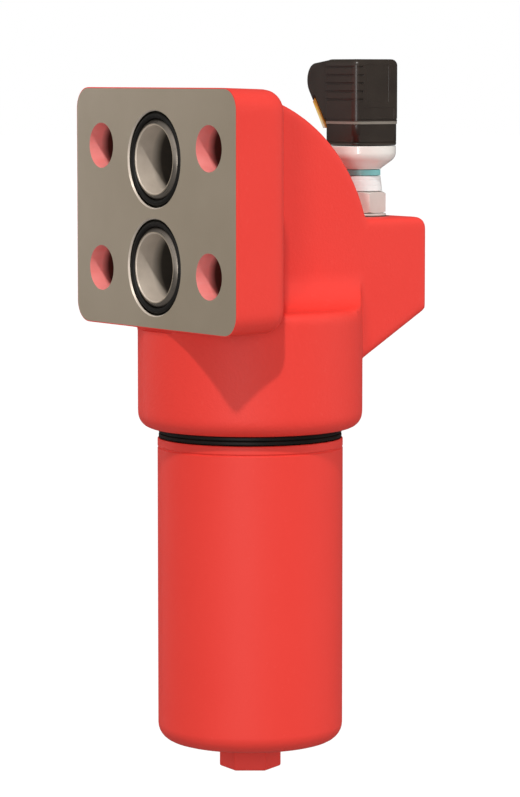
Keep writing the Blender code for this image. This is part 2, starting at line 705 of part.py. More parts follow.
def spigot(steel, rubber):
    """The tube under the chamber's roof that the element pushes on to, with its seal."""
    place = (0, BOWL_AXIS, 0)
    plug = OUTLET_BORE_RADIUS - GAP
    under = SPIGOT_TOP - SPIGOT_FLANGE_HEIGHT
    end = under - SPIGOT_LENGTH
    seal_middle = under - SPIGOT_LENGTH / 2
    half = SPIGOT_SEAL_CORD / 2 + GAP
    floor = SPIGOT_RADIUS - SPIGOT_SEAL_CORD - GAP
    profile = [
        (SPIGOT_BORE, SPIGOT_TOP + SPIGOT_PLUG_HEIGHT),
        (plug, SPIGOT_TOP + SPIGOT_PLUG_HEIGHT),
        (plug, SPIGOT_TOP),
        (SPIGOT_FLANGE_RADIUS, SPIGOT_TOP),
        (SPIGOT_FLANGE_RADIUS, under),
        (SPIGOT_RADIUS, under),
        (SPIGOT_RADIUS, seal_middle + half),
        (floor, seal_middle + half),
        (floor, seal_middle - half),
        (SPIGOT_RADIUS, seal_middle - half),
        (SPIGOT_RADIUS, end + NECK_CHAMFER),
        (SPIGOT_RADIUS - NECK_CHAMFER, end),
        (SPIGOT_BORE, end),
    ]
    turned("element_spigot", profile, steel, place, ring=True)
    seal_ring("spigot_oring", floor + GAP, SPIGOT_SEAL_CORD, (0, BOWL_AXIS, seal_middle), rubber)


def element_caps(zinc):
    place = (0, BOWL_AXIS, 0)
    edge = CAP_SHEET
    rim = ELEMENT_RADIUS - CAP_SHEET
    top = [
        (COLLAR_INNER, ELEMENT_TOP),
        (ELEMENT_RADIUS - edge, ELEMENT_TOP),
        (ELEMENT_RADIUS, ELEMENT_TOP - edge),
        (ELEMENT_RADIUS, ELEMENT_TOP - CAP_RIM),
        (rim, ELEMENT_TOP - CAP_RIM),
        (rim, ELEMENT_TOP - CAP_PLATE),
        (COLLAR_OUTER, ELEMENT_TOP - CAP_PLATE),
        (COLLAR_OUTER, ELEMENT_TOP - TOP_COLLAR_HEIGHT),
        (COLLAR_INNER, ELEMENT_TOP - TOP_COLLAR_HEIGHT),
    ]
    turned("element_top_cap", top, zinc, place, BIG_STEPS, ring=True)
    plate = ELEMENT_BOTTOM + CAP_PLATE
    collar_top = RETAINER_FOOT - GAP
    bottom = [
        (COLLAR_INNER, plate),
        (COLLAR_INNER, collar_top),
        (COLLAR_OUTER, collar_top),
        (COLLAR_OUTER, plate),
        (rim, plate),
        (rim, ELEMENT_BOTTOM + CAP_RIM),
        (ELEMENT_RADIUS, ELEMENT_BOTTOM + CAP_RIM),
        (ELEMENT_RADIUS, ELEMENT_BOTTOM + edge),
        (ELEMENT_RADIUS - edge, ELEMENT_BOTTOM),
        (VALVE_HOLE_RADIUS, ELEMENT_BOTTOM),
        (VALVE_HOLE_RADIUS, plate),
    ]
    turned("element_bottom_cap", bottom, zinc, place, BIG_STEPS, ring=True)


def pleat_pack(medium):
    """The filter medium, one sheet folded to and fro round the core."""
    tip = ELEMENT_RADIUS - CAP_SHEET - GAP
    valley = CORE_OUTER + GAP
    half_pitch = pi / PLEATS
    half_tip = half_pitch * PLEAT_TIP
    outer, inner = [], []
    for i in range(PLEATS):
        fold = 2 * half_pitch * i
        back = fold + half_pitch
        outer += [(tip, fold - half_tip), (tip, fold + half_tip), (valley + PLEAT_FOLD, back)]
        inner += [(tip - PLEAT_FOLD, fold), (valley, back - half_tip), (valley, back + half_tip)]
    outlines = [[(r * cos(a), r * sin(a)) for r, a in line] for line in (outer, inner)]
    middle = (CORE_TOP + CORE_BOTTOM) / 2
    return extruded("element_pleat_pack", outlines, CORE_TOP - CORE_BOTTOM, medium, (0, BOWL_AXIS, middle))


def core_tube(steel):
    core = tube("element_core_tube", CORE_INNER, CORE_OUTER, CORE_BOTTOM, CORE_TOP, steel, (0, BOWL_AXIS, 0))
    bm = bmesh.new()
    pitch = (CORE_TOP - CORE_BOTTOM) / CORE_SLOT_ROWS
    for row in range(CORE_SLOT_ROWS):
        height = CORE_BOTTOM + pitch * (row + 0.5)
        for i in range(CORE_SLOTS_ROUND):
            slot = bmesh.ops.create_cube(bm, size=1)["verts"]
            bmesh.ops.scale(bm, vec=(3 * CORE_WALL, CORE_SLOT_WIDTH, CORE_SLOT_LENGTH), verts=slot)
            bmesh.ops.translate(bm, vec=(CORE_OUTER, 0, height), verts=slot)
            turn = Matrix.Rotation(2 * pi * (i + row / 2) / CORE_SLOTS_ROUND, 3, "Z")
            bmesh.ops.rotate(bm, verts=slot, matrix=turn)
    return cut(core, from_bmesh("core_slots", bm, place=(0, BOWL_AXIS, 0)))


def bypass_valve(steel, zinc):
    place = (0, BOWL_AXIS, 0)
    pilot = VALVE_HOLE_RADIUS - GAP
    hub_top = RETAINER_FOOT + RETAINER_THICKNESS + RETAINER_HUB_HEIGHT
    poppet = [
        (0, hub_top + GAP),
        (POPPET_STEM_RADIUS, hub_top + GAP),
        (POPPET_STEM_RADIUS, POPPET_TOP),
        (POPPET_RADIUS, POPPET_TOP),
        (POPPET_RADIUS, POPPET_BOTTOM),
        (pilot, POPPET_BOTTOM),
        (pilot - NECK_CHAMFER, ELEMENT_BOTTOM + GAP),
        (0, ELEMENT_BOTTOM + GAP),
    ]
    turned("bypass_poppet", poppet, steel, place, SMALL_STEPS)
    spring(
        "bypass_spring",
        VALVE_SPRING_RADIUS,
        VALVE_SPRING_WIRE,
        VALVE_SPRING_TURNS,
        VALVE_SPRING_FOOT,
        VALVE_SPRING_LENGTH,
        steel,
        place,
    )
    guide = POPPET_STEM_RADIUS + GAP
    retainer = [
        (guide, hub_top),
        (RETAINER_HUB_RADIUS, hub_top),
        (RETAINER_HUB_RADIUS, RETAINER_FOOT + RETAINER_THICKNESS),
        (COLLAR_OUTER, RETAINER_FOOT + RETAINER_THICKNESS),
        (COLLAR_OUTER, RETAINER_FOOT),
        (guide, RETAINER_FOOT),
    ]
    plate = turned("bypass_retainer", retainer, zinc, place, SMALL_STEPS, ring=True)
    reach = (RETAINER_HUB_RADIUS + COLLAR_INNER) / 2
    for i in range(RETAINER_WINDOWS):
        angle = 2 * pi * i / RETAINER_WINDOWS
        x, y = reach * cos(angle), BOWL_AXIS + reach * sin(angle)
        foot = RETAINER_FOOT - GAP
        head = RETAINER_FOOT + RETAINER_THICKNESS + GAP
        cut(plate, round_bar(f"window_{i}", RETAINER_WINDOW_RADIUS, (x, y, foot), (x, y, head)))


def indicator_body(steel):
    seat = STEM_BOTTOM + PISTON_SEAT_HEIGHT
    neck_top = LENS_FOOT + LENS_SOCKET_DEPTH - GAP
    bore = PISTON_RADIUS + GAP
    place = (0, INDICATOR_Y, 0)
    profile = [
        (0, neck_top),
        (INDICATOR_NECK_RADIUS, neck_top),
        (INDICATOR_NECK_RADIUS, HEX_TOP - GAP),
        (INDICATOR_STEM_RADIUS, HEX_TOP - GAP),
        (INDICATOR_STEM_RADIUS, STEM_BOTTOM + NECK_CHAMFER),
        (INDICATOR_STEM_RADIUS - NECK_CHAMFER, STEM_BOTTOM),
        (0, STEM_BOTTOM),
    ]
    body = turned("indicator_body", profile, steel, place, SMALL_STEPS)
    nut = hexagon(
        "indicator_hexagon",
        INDICATOR_HEX_ACROSS,
        INDICATOR_HEX_HEIGHT,
        INDICATOR_HEX_CHAMFER,
        (0, INDICATOR_Y, (HEX_FOOT + HEX_TOP) / 2),
        INDICATOR_HEX_TURN,
        upper=True,
    )
    hollow = [
        (0, BORE_TOP),
        (bore, BORE_TOP),
        (bore, seat),
        (PISTON_SEAT_RADIUS, seat),
        (PISTON_SEAT_RADIUS, STEM_BOTTOM - GAP),
        (0, STEM_BOTTOM - GAP),
    ]
    return cut(join(body, nut), turned("piston_bore", hollow, place=place, steps=SMALL_STEPS))


def indicator_rings(zinc, white, teal):
    place = (0, INDICATOR_Y, 0)
    washer_top = WASHER_FOOT + INDICATOR_WASHER_HEIGHT
    inner = INDICATOR_STEM_RADIUS + GAP
    tube("indicator_seal_ring", inner, INDICATOR_WASHER_RADIUS, WASHER_FOOT, washer_top, zinc, place)
    neck = INDICATOR_NECK_RADIUS + GAP
    white_top = WHITE_FOOT + WHITE_BAND_HEIGHT
    band = [(neck, white_top), (BAND_RADIUS, white_top), (WHITE_BAND_FOOT_RADIUS, WHITE_FOOT), (neck, WHITE_FOOT)]
    turned("indicator_white_band", band, white, place, ring=True)
    tube("indicator_teal_band", neck, BAND_RADIUS, TEAL_FOOT, TEAL_FOOT + TEAL_BAND_HEIGHT, teal, place)


def indicator_lens(white):
    """The pale cone and cylinder, with the hole under it that takes the neck."""
    hole = INDICATOR_NECK_RADIUS + GAP
    hole_top = LENS_FOOT + LENS_SOCKET_DEPTH
    edge = GAP
    profile = [
        (0, LENS_TOP),
        (LENS_RADIUS - edge, LENS_TOP),
        (LENS_RADIUS, LENS_TOP - edge),
        (LENS_RADIUS, LENS_FOOT + LENS_CONE_HEIGHT),
        (BAND_RADIUS, LENS_FOOT),
        (hole, LENS_FOOT),
        (hole, hole_top),
        (0, hole_top),
    ]
    return turned("indicator_lens", profile, white, (0, INDICATOR_Y, 0))


def indicator_piston(steel):
    place = (0, INDICATOR_Y, 0)
    edge = GAP
    profile = [
        (0, PISTON_TOP),
        (PISTON_RADIUS - edge, PISTON_TOP),
        (PISTON_RADIUS, PISTON_TOP - edge),
        (PISTON_RADIUS, PISTON_BOTTOM),
        (0, PISTON_BOTTOM),
    ]
    turned("indicator_piston", profile, steel, place, SMALL_STEPS)
    spring(
        "indicator_spring",
        PISTON_SPRING_RADIUS,
        PISTON_SPRING_WIRE,
        PISTON_SPRING_TURNS,
        PISTON_SPRING_FOOT,
        PISTON_SPRING_LENGTH,
        steel,
        place,
    )


def contact_pins(brass):
    """Two flat pins and the earth pin, standing on the socket."""
    foot = SOCKET_TOP - PIN_SINK
    height = PIN_HEIGHT + PIN_SINK
    middle = foot + height / 2
    places = {
        "contact_pin_left": ((0, -PIN_OFFSET), (PIN_WIDTH, PIN_THICKNESS)),
        "contact_pin_right": ((0, PIN_OFFSET), (PIN_WIDTH, PIN_THICKNESS)),
        "contact_pin_earth": ((PIN_OFFSET, 0), (PIN_THICKNESS, PIN_WIDTH)),
    }
    slots = []
    for name, ((x, y), (width, depth)) in places.items():
        place = (x, INDICATOR_Y + y, middle)
        box(name, (width, depth, height), place, brass)
        slot = (width + 2 * GAP, depth + 2 * GAP, height + 2 * GAP)
        slots.append(box(name + "_slot", slot, place))
    return slots


def connector_socket(black, slots, screw_hole):
    middle = (0, INDICATOR_Y, SOCKET_FOOT + SOCKET_HEIGHT / 2)
    size = (SOCKET_SIDE, SOCKET_SIDE, SOCKET_HEIGHT)
    socket = box("indicator_socket", size, middle, black, corner=PLUG_CORNER)
    return cut(socket, *slots, screw_hole)


def gasket(rubber, slots, screw_hole):
    middle = (0, INDICATOR_Y, GASKET_FOOT + GASKET_HEIGHT / 2)
    ring = box("plug_gasket", (GASKET_SIDE, GASKET_SIDE, GASKET_HEIGHT), middle, rubber, corner=PLUG_CORNER)
    return cut(ring, *slots, screw_hole)


def hood_slope():
    """The outer slope under the hood: its foot, its direction and its outward side, with the nose's centre."""
    foot = Vector((-HOOD_FOOT, PLUG_FOOT))
    nose = Vector((-(HOOD_REACH - HOOD_NOSE_RADIUS), PLUG_TOP - HOOD_NOSE_DROP))
    across = nose - foot
    along = Matrix.Rotation(asin(HOOD_NOSE_RADIUS / across.length), 2) @ across.normalized()
    outward = Vector((-along.y, along.x))
    return foot, along, outward, nose


def hood():
    """The cable hood on the plug's side, stepped in for the amber strip."""
    foot, along, outward, nose = hood_slope()
    inside = -(PLUG_SIDE / 2 - PLUG_CORNER)
    turn = Vector((1, 0)).angle(outward)
    tip = arc(nose, HOOD_NOSE_RADIUS, pi / 2 + HOOD_TOP_SLOPE * pi / 180, 2 * pi - turn, 5)
    step = foot + along * (STRIP_LENGTH + GAP)
    inner_step = step - outward * (STRIP_THICKNESS + GAP)
    low = PLUG_FOOT + GAP
    inner_foot = inner_step - along * (inner_step.y - low) / along.y
    outline = [(inside, PLUG_TOP - GAP), *tip, step, inner_step, inner_foot, (inside, low)]
    return extruded(
        "hood", [outline], HOOD_WIDTH, place=(0, INDICATOR_Y, 0), turn=(pi / 2, 0, 0), rounding=HOOD_ROUND
    )


def amber_strip(amber):
    foot, along, outward, _ = hood_slope()
    low = foot - outward * STRIP_THICKNESS
    far = along * STRIP_LENGTH
    outline = [foot, foot + far, low + far, low - along * (low.y - PLUG_FOOT) / along.y]
    place = (0, INDICATOR_Y, 0)
    return extruded("plug_amber_strip", [outline], STRIP_WIDTH, amber, place, (pi / 2, 0, 0))


def grip_groove_cutters():
    """Shallow grooves across the plug's two grip faces, with the front ones carried round the corner."""
    cutters = []
    half = PLUG_SIDE / 2
    across = bmesh.new()
    corner = bmesh.new()
    for i in range(GRIP_GROOVES):
        height = PLUG_TOP - GRIP_TOP - GRIP_GROOVE_PITCH * i
        for side in (-1, 1):
            bar = bmesh.ops.create_cube(across, size=1)["verts"]
            size = (2 * half + GRIP_GROOVE_PITCH, 2 * GRIP_GROOVE_DEPTH, GRIP_GROOVE_WIDTH)
            bmesh.ops.scale(across, vec=size, verts=bar)
            bmesh.ops.translate(across, vec=(0, side * half, height), verts=bar)
        bar = bmesh.ops.create_cube(corner, size=1)["verts"]
        bmesh.ops.scale(corner, vec=(2 * GRIP_GROOVE_DEPTH, 2 * GRIP_WRAP, GRIP_GROOVE_WIDTH), verts=bar)
        bmesh.ops.translate(corner, vec=(half, -half, height), verts=bar)
    cutters.append(from_bmesh("grip_grooves", across, place=(0, INDICATOR_Y, 0)))
    cutters.append(from_bmesh("corner_grooves", corner, place=(0, INDICATOR_Y, 0)))
    return cutters


def panel_cutters():
    """Two bare recesses on the plug's outer face."""
    x = PLUG_SIDE / 2
    high = (x, INDICATOR_Y, PLUG_TOP - PANEL_DROP - PANEL_HEIGHT / 2)
    low = (x, INDICATOR_Y, PLUG_TOP - SLOT_PANEL_DROP - SLOT_PANEL_HEIGHT / 2)
    return [
        box("upper_panel", (2 * PANEL_DEPTH, PANEL_WIDTH, PANEL_HEIGHT), high),
        box("lower_panel", (2 * PANEL_DEPTH, SLOT_PANEL_WIDTH, SLOT_PANEL_HEIGHT), low),
    ]


def plug_housing(black, slots, screw_hole):
    middle = (0, INDICATOR_Y, PLUG_FOOT + PLUG_HEIGHT / 2)
    size = (PLUG_SIDE, PLUG_SIDE, PLUG_HEIGHT)
    plug = box("plug_housing", size, middle, black, corner=PLUG_CORNER, rims=((1, PLUG_TOP_ROUND),))
    join(plug, hood())
    recess = round_bar(
        "screw_recess",
        SCREW_HEAD_RADIUS + GAP,
        (0, INDICATOR_Y, PLUG_TOP - SCREW_RECESS - GAP),
        (0, INDICATOR_Y, PLUG_TOP + GAP),
    )
    _, _, _, nose = hood_slope()
    way = round_bar(
        "cable_way",
        GLAND_BORE,
        (-HOOD_REACH - GAP, INDICATOR_Y, nose.y),
        (-PLUG_SIDE / 2 + PLUG_CORNER, INDICATOR_Y, nose.y),
    )
    return cut(plug, *grip_groove_cutters(), *panel_cutters(), *slots, screw_hole, recess, way)


def screw_hole_cutter():
    foot = SOCKET_TOP - SCREW_GRIP - GAP
    radius = SCREW_SHANK_RADIUS + GAP
    return round_bar("screw_hole", radius, (0, INDICATOR_Y, foot), (0, INDICATOR_Y, PLUG_TOP - SCREW_RECESS))


def plug_screw(steel):
    top = PLUG_TOP - SCREW_RECESS + SCREW_HEAD_HEIGHT
    under = PLUG_TOP - SCREW_RECESS
    end = SOCKET_TOP - SCREW_GRIP
    profile = [
        (0, top),
        (SCREW_HEAD_RADIUS, top),
        (SCREW_HEAD_RADIUS, under),
        (SCREW_SHANK_RADIUS, under),
        (SCREW_SHANK_RADIUS, end),
        (0, end),
    ]
    screw = turned("plug_screw", profile, steel, (0, INDICATOR_Y, 0), SMALL_STEPS)
    size = (SCREW_SLOT, 3 * SCREW_HEAD_RADIUS, SCREW_HEAD_HEIGHT)
    return cut(screw, box("screw_slot", size, (0, INDICATOR_Y, top)))


def cable_gland(black, rubber):
    """The gland nut on the hood's hidden end, with the rubber seal that a cable would pass through."""
    _, _, _, nose = hood_slope()
    place = (-HOOD_REACH - GAP, INDICATOR_Y, nose.y)
    turn = (0, -pi / 2, 0)
    recess = GLAND_LENGTH - GLAND_RECESS
    seat = GLAND_SEAL_BORE + GLAND_RECESS
    nut = [
        (GLAND_SEAL_BORE + GAP, GLAND_LENGTH),
        (GLAND_RADIUS - GLAND_RECESS / 2, GLAND_LENGTH),
        (GLAND_RADIUS, GLAND_LENGTH - GLAND_RECESS / 2),
        (GLAND_RADIUS, 0),
        (seat + GAP, 0),
        (seat + GAP, recess),
        (GLAND_SEAL_BORE + GAP, recess),
    ]
    turned("gland_nut", nut, black, place, GLAND_FACETS, ring=True, turn=turn)
    seal = [(GLAND_SEAL_BORE, recess - GAP), (seat, recess - GAP), (seat, 0), (GLAND_SEAL_BORE, 0)]
    turned("gland_seal", seal, rubber, place, SMALL_STEPS, ring=True, turn=turn)


def main():
    clear_scene()
    paint = finish_of("red_paint", (0.80, 0.055, 0.038), 0.45)
    rubber = finish_of("black_rubber", (0.02, 0.018, 0.016), 0.6)
    steel = finish_of("turned_steel", (0.55, 0.53, 0.50), 0.3, 1.0)
    zinc = finish_of("zinc_plate", (0.62, 0.60, 0.56), 0.35, 1.0)
    brass = finish_of("brass", (0.75, 0.55, 0.25), 0.3, 1.0)
    nylon = finish_of("black_nylon", (0.040, 0.033, 0.028), 0.4)
    pale = finish_of("pale_plastic", (0.85, 0.80, 0.74), 0.35)
    teal = finish_of("teal_plastic", (0.16, 0.52, 0.52), 0.4)
    grey = finish_of("grey_rubber", (0.25, 0.23, 0.21), 0.6)
    amber = finish_of("amber_plastic", (0.95, 0.65, 0.10), 0.3)
    medium = finish_of("filter_medium", (0.80, 0.76, 0.66), 0.9)
    white = finish_of("white_backup_plastic", (0.75, 0.74, 0.70), 0.5)

    head_casting(paint)
    port_orings(rubber)
    bowl(paint)
    dust_ring(rubber)
    neck_seals(rubber, white)
    spigot(steel, rubber)
    element_caps(zinc)
    pleat_pack(medium)
    core_tube(zinc)
    bypass_valve(steel, zinc)
    indicator_body(steel)
    indicator_rings(zinc, pale, teal)
    indicator_lens(pale)
    indicator_piston(steel)
    slots = contact_pins(brass)
    screw_hole = screw_hole_cutter()
    connector_socket(nylon, slots, screw_hole)
    gasket(grey, slots, screw_hole)
    plug_housing(nylon, slots, screw_hole)
    amber_strip(amber)
    plug_screw(steel)
    cable_gland(nylon, rubber)


main()
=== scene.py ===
# %% [markdown]
# # A hydraulic pressure filter, dressed for its picture
#
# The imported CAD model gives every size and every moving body. This script keeps that frame, replaces the solids
# whose facets or plain edges would show with finer pieces, and gives each surface its real finish. Everything is
# drawn in millimetres and turned into metres when a piece is finished.

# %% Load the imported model
import json
from math import asin, atan2, copysign, cos, pi, radians, sin, sqrt, tan

import bmesh
import bpy
from mathutils import Matrix, Vector

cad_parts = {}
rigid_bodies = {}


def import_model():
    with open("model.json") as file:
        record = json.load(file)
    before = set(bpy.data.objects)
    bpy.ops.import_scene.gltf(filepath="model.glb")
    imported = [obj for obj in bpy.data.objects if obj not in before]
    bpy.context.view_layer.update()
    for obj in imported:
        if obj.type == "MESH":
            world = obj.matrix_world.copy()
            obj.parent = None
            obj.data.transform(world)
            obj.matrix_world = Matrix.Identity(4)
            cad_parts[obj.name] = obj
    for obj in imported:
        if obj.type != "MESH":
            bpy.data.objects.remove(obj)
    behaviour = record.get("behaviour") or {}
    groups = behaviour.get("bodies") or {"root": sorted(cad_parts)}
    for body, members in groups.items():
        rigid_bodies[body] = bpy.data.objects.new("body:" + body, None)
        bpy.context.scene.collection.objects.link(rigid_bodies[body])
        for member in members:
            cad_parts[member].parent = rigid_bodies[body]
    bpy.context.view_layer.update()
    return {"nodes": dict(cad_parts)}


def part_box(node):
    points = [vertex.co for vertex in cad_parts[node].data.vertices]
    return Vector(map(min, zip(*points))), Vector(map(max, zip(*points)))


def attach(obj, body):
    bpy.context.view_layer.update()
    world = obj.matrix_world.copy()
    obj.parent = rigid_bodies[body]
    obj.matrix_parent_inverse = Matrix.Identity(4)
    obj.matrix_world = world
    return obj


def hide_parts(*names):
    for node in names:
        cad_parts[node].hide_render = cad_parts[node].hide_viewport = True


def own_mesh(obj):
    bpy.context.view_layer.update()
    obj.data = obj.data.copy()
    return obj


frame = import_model()
MM = 0.001
print("nodes:", len(frame["nodes"]))


# %% [markdown]
# ## Sizes from the frame
#
# A piece that stands in for a solid has to sit exactly where the solid is. So its heights and radii are read from
# the solid's box, and only details the solid doesn't have are given as numbers.

# %% Read heights and radii of the CAD solids


def foot(node):
    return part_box(node)[0].z / MM


def top(node):
    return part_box(node)[1].z / MM


def radius(node):
    low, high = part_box(node)
    return (high.x - low.x) / 2 / MM


def axis_of(node):
    low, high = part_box(node)
    return (low.x + high.x) / 2 / MM, (low.y + high.y) / 2 / MM


BOWL_AXIS = axis_of("bowl_dust_ring")
INDICATOR_AXIS = axis_of("indicator_lens")
print("bowl axis", [round(v, 2) for v in BOWL_AXIS], "indicator axis", [round(v, 2) for v in INDICATOR_AXIS])


# %% [markdown]
# ## Shader maths written as sums
#
# A node tree is easier to read as a line of arithmetic. A Wire is one output socket, and adding or multiplying
# wires adds the Math nodes that do it. Every other kind of node comes from one method of the finish being made.

# %% A wire and a finish


def add_node(tree, kind, settings=None, inputs=None, output=0):
    """Adds a node, makes its settings, then fills its sockets with numbers or links them to wires."""
    made = tree.nodes.new(kind)
    for name, value in (settings or {}).items():
        if name == "stops":
            ramp = made.color_ramp
            while len(ramp.elements) < len(value):
                ramp.elements.new(0.5)
            for element, (position, colour) in zip(ramp.elements, value):
                element.position = position
                element.color = (*colour, 1)
        else:
            setattr(made, name, value)
    for name, value in (inputs or {}).items():
        if isinstance(value, Wire):
            tree.links.new(value.socket, made.inputs[name])
        else:
            made.inputs[name].default_value = value
    return Wire(tree, made.outputs[output])


class Wire:
    """One output socket of a node."""

    def __init__(self, tree, socket):
        self.tree = tree
        self.socket = socket

    def maths(self, operation, first, second=0.0):
        return add_node(self.tree, "ShaderNodeMath", {"operation": operation}, {0: first, 1: second})

    def __add__(self, other):
        return self.maths("ADD", self, other)

    __radd__ = __add__

    def __mul__(self, other):
        return self.maths("MULTIPLY", self, other)

    __rmul__ = __mul__

    def __sub__(self, other):
        return self.maths("SUBTRACT", self, other)

    def __rsub__(self, other):
        return self.maths("SUBTRACT", other, self)

    def clamped(self):
        return self.maths("MINIMUM", self.maths("MAXIMUM", self, 0.0), 1.0)

    def between(self, start, end):
        """0 up to the start, 1 from the end on, and an even rise between them."""
        return ((self - start) * (1 / (end - start))).clamped()

    def sine(self):
        return self.maths("SINE", self)


class Finish:
    """A material being made. Its patterns lie in millimetres of the object's own space."""

    def __init__(self, name, **sockets):
        self.material = bpy.data.materials.new(name)
        self.material.use_nodes = True
        self.tree = self.material.node_tree
        self.shader = self.tree.nodes["Principled BSDF"]
        place = self.add("ShaderNodeTexCoord", output="Object")
        self.place = self.add("ShaderNodeVectorMath", {"operation": "SCALE"}, {0: place, "Scale": 1 / MM})
        self.set(**sockets)

    def add(self, kind, settings=None, inputs=None, output=0):
        return add_node(self.tree, kind, settings, inputs, output)

    def set(self, **sockets):
        for name, value in sockets.items():
            socket = self.shader.inputs[name.replace("_", " ")]
            if isinstance(value, Wire):
                self.tree.links.new(value.socket, socket)
            else:
                socket.default_value = value

    def moved(self, centre=(0, 0, 0), scale=(1, 1, 1)):
        """The place, measured from a centre, then stretched."""
        start = self.add("ShaderNodeVectorMath", {"operation": "SUBTRACT"}, {0: self.place, 1: centre})
        return self.add("ShaderNodeMapping", {"vector_type": "POINT"}, {"Vector": start, "Scale": scale})

    def noise(self, size, detail=2.0, roughness=0.5, place=None):
        """Clouds of about this size in millimetres, from 0 to 1."""
        inputs = {"Vector": place or self.place, "Scale": 1 / size, "Detail": detail, "Roughness": roughness}
        return self.add("ShaderNodeTexNoise", None, inputs, "Fac")

    def part(self, vector, axis):
        return self.add("ShaderNodeSeparateXYZ", None, {"Vector": vector}, axis)

    def blend(self, factor, first, second):
        """A colour between two others."""
        inputs = {"Factor": factor, "A": first, "B": second}
        for name in ("A", "B"):
            if not isinstance(inputs[name], Wire):
                inputs[name] = (*inputs[name], 1)
        mix = self.tree.nodes.new("ShaderNodeMix")
        mix.data_type = "RGBA"
        for socket in mix.inputs:
            if socket.enabled and socket.name in inputs:
                value = inputs[socket.name]
                if isinstance(value, Wire):
                    self.tree.links.new(value.socket, socket)
                else:
                    socket.default_value = value
        return Wire(self.tree, next(socket for socket in mix.outputs if socket.enabled))

    def bump(self, height, distance):
        """Raises the surface by up to this distance in metres where the height is 1."""
        self.set(Normal=self.add("ShaderNodeBump", None, {"Height": height, "Distance": distance}))


print("shader helpers ready")


# %% [markdown]
# ## The red paint
#
# The head is sand cast and the bowl is turned steel, and both are sprayed with the same semi-gloss red enamel.
# Paint over a casting keeps the sand's grain as soft bumps about a millimetre wide, with a finer orange peel on
# top. On the turned bowl the grain is finer. Noise at two sizes in a Bump node gives both, and the same noise
# varies the gloss a little. The paint in the screw holes is a glossier pale pink, a painted sheen for their lit walls,
# and it turns dark with the distance from the face, a painted shade. Each finish is worked out in millimetres of the
# object's own space, where Y is that distance.

# %% Make the red paints
RED_DEEP = (0.785, 0.030, 0.018)
RED_BRIGHT = (0.815, 0.042, 0.027)
RED_SPECK = (0.85, 0.12, 0.09)
# The holes' pale pinks are a painted sheen, and their near-black far in is a painted shade.
HOLE_SHEEN_DEEP = (0.930, 0.245, 0.225)
HOLE_SHEEN_PALE = (0.970, 0.340, 0.320)
HOLE_PAINTED_SHADE = (0.080, 0.018, 0.014)
HOLE_SHADE_DEPTHS = (7.0, 11.5)


def red_paint(name, grain, depth):
    """Red enamel over a grain this wide and this deep in millimetres."""
    finish = Finish(name)
    sand = finish.noise(grain, 4.0, 0.55)
    peel = finish.noise(grain * 0.4, 1.0, 0.4)
    cloud = finish.noise(38.0, 2.0, 0.5)
    speck = (finish.noise(grain * 1.7, 0.0) * 6.0 - 4.35).clamped()
    tint = (0.25 + 0.5 * cloud + 0.3 * sand).clamped()
    red = finish.blend(tint, RED_DEEP, RED_BRIGHT)
    red = finish.blend(speck * 0.10, red, RED_SPECK)
    finish.set(Base_Color=red, Roughness=0.50 + 0.14 * sand)
    finish.bump(sand * 0.8 + peel * 0.35, depth * MM)
    return finish.material


def hole_paint_sheen_and_shade():
    """Red paint in the holes: glossier than outside, a pale pink as painted sheen, and dark far in as painted shade."""
    finish = Finish("red_paint_in_holes", Roughness=0.34)
    run = finish.noise(5.0, 3.0, 0.6, finish.moved(scale=(1, 0.3, 1)))
    # A painted sheen in pale pink, darkened with the depth from the face as painted shade.
    paint = finish.blend((run * 1.6 - 0.3).clamped(), HOLE_SHEEN_DEEP, HOLE_SHEEN_PALE)
    depth = finish.part(finish.place, "Y").between(*HOLE_SHADE_DEPTHS)
    finish.set(Base_Color=finish.blend(depth, paint, HOLE_PAINTED_SHADE))
    finish.bump(run, 0.05 * MM)
    return finish.material


# The sand's grain is about 1.5 mm wide, and the turned bowl's is finer and flatter.
cast_paint = red_paint("cast_red_paint", 1.5, 0.16)
turned_paint = red_paint("turned_red_paint", 0.9, 0.07)
drilled_paint_sheen_and_shade = hole_paint_sheen_and_shade()
print("paints:", cast_paint.name, turned_paint.name, drilled_paint_sheen_and_shade.name)


# %% [markdown]
# ## Bare metal
#
# The mounting face is milled flat after painting, the ports and the socket are bored, and the small parts are
# turned. Each cutting tool leaves its own fine lines: wide arcs from the face mill, and rings round the axis of a
# turned or bored surface. They are drawn as a sine of the distance that the tool moved along, broken up by noise.
# The face is a little paler towards its upper left corner, a painted sheen, and a bore's colour is darkened from some
# way in as painted shade. The indicator's hexagon has a satin plating that hardly mirrors, so its finish is mostly not
# metallic.

# %% Make the bare metals
FACE_DARK = (0.540, 0.445, 0.330)
FACE_LIGHT = (0.720, 0.610, 0.480)
FACE_SHEEN_SPAN = 260.0
MILL_CENTRE = (-190, 0, 40)
# A near-black painted shade for the deep part of a bore, and the depths where it comes in.
BORE_PAINTED_SHADE = (0.060, 0.050, 0.040)
BORE_SHADE_DEPTHS = (9.5, 15.5)


def milled_face():
    finish = Finish("milled_face", Metallic=0.65)
    centre = finish.moved(MILL_CENTRE, (1, 0, 1))
    away = finish.add("ShaderNodeVectorMath", {"operation": "LENGTH"}, {0: centre}, "Value")
    waver = finish.noise(9.0, 3.0, 0.6)
    arcs = (away * 4.2 + waver * 3.0).sine() * 0.5 + 0.5
    fine = finish.noise(0.5, 3.0, 0.7, finish.moved(scale=(1, 1, 0.22)))
    cloud = finish.noise(55.0, 3.0, 0.5)
    # Painted sheen: the face is made paler towards its upper left corner.
    corner = (finish.part(finish.place, "Z") - finish.part(finish.place, "X")) * (1 / FACE_SHEEN_SPAN)
    metal = finish.blend((cloud * 0.9 + corner - 0.1).clamped(), FACE_DARK, FACE_LIGHT)
    finish.set(Base_Color=metal, Roughness=0.36 + 0.10 * fine + 0.06 * arcs)
    finish.bump(arcs * 0.35 + fine * 0.5, 0.012 * MM)
    return finish.material


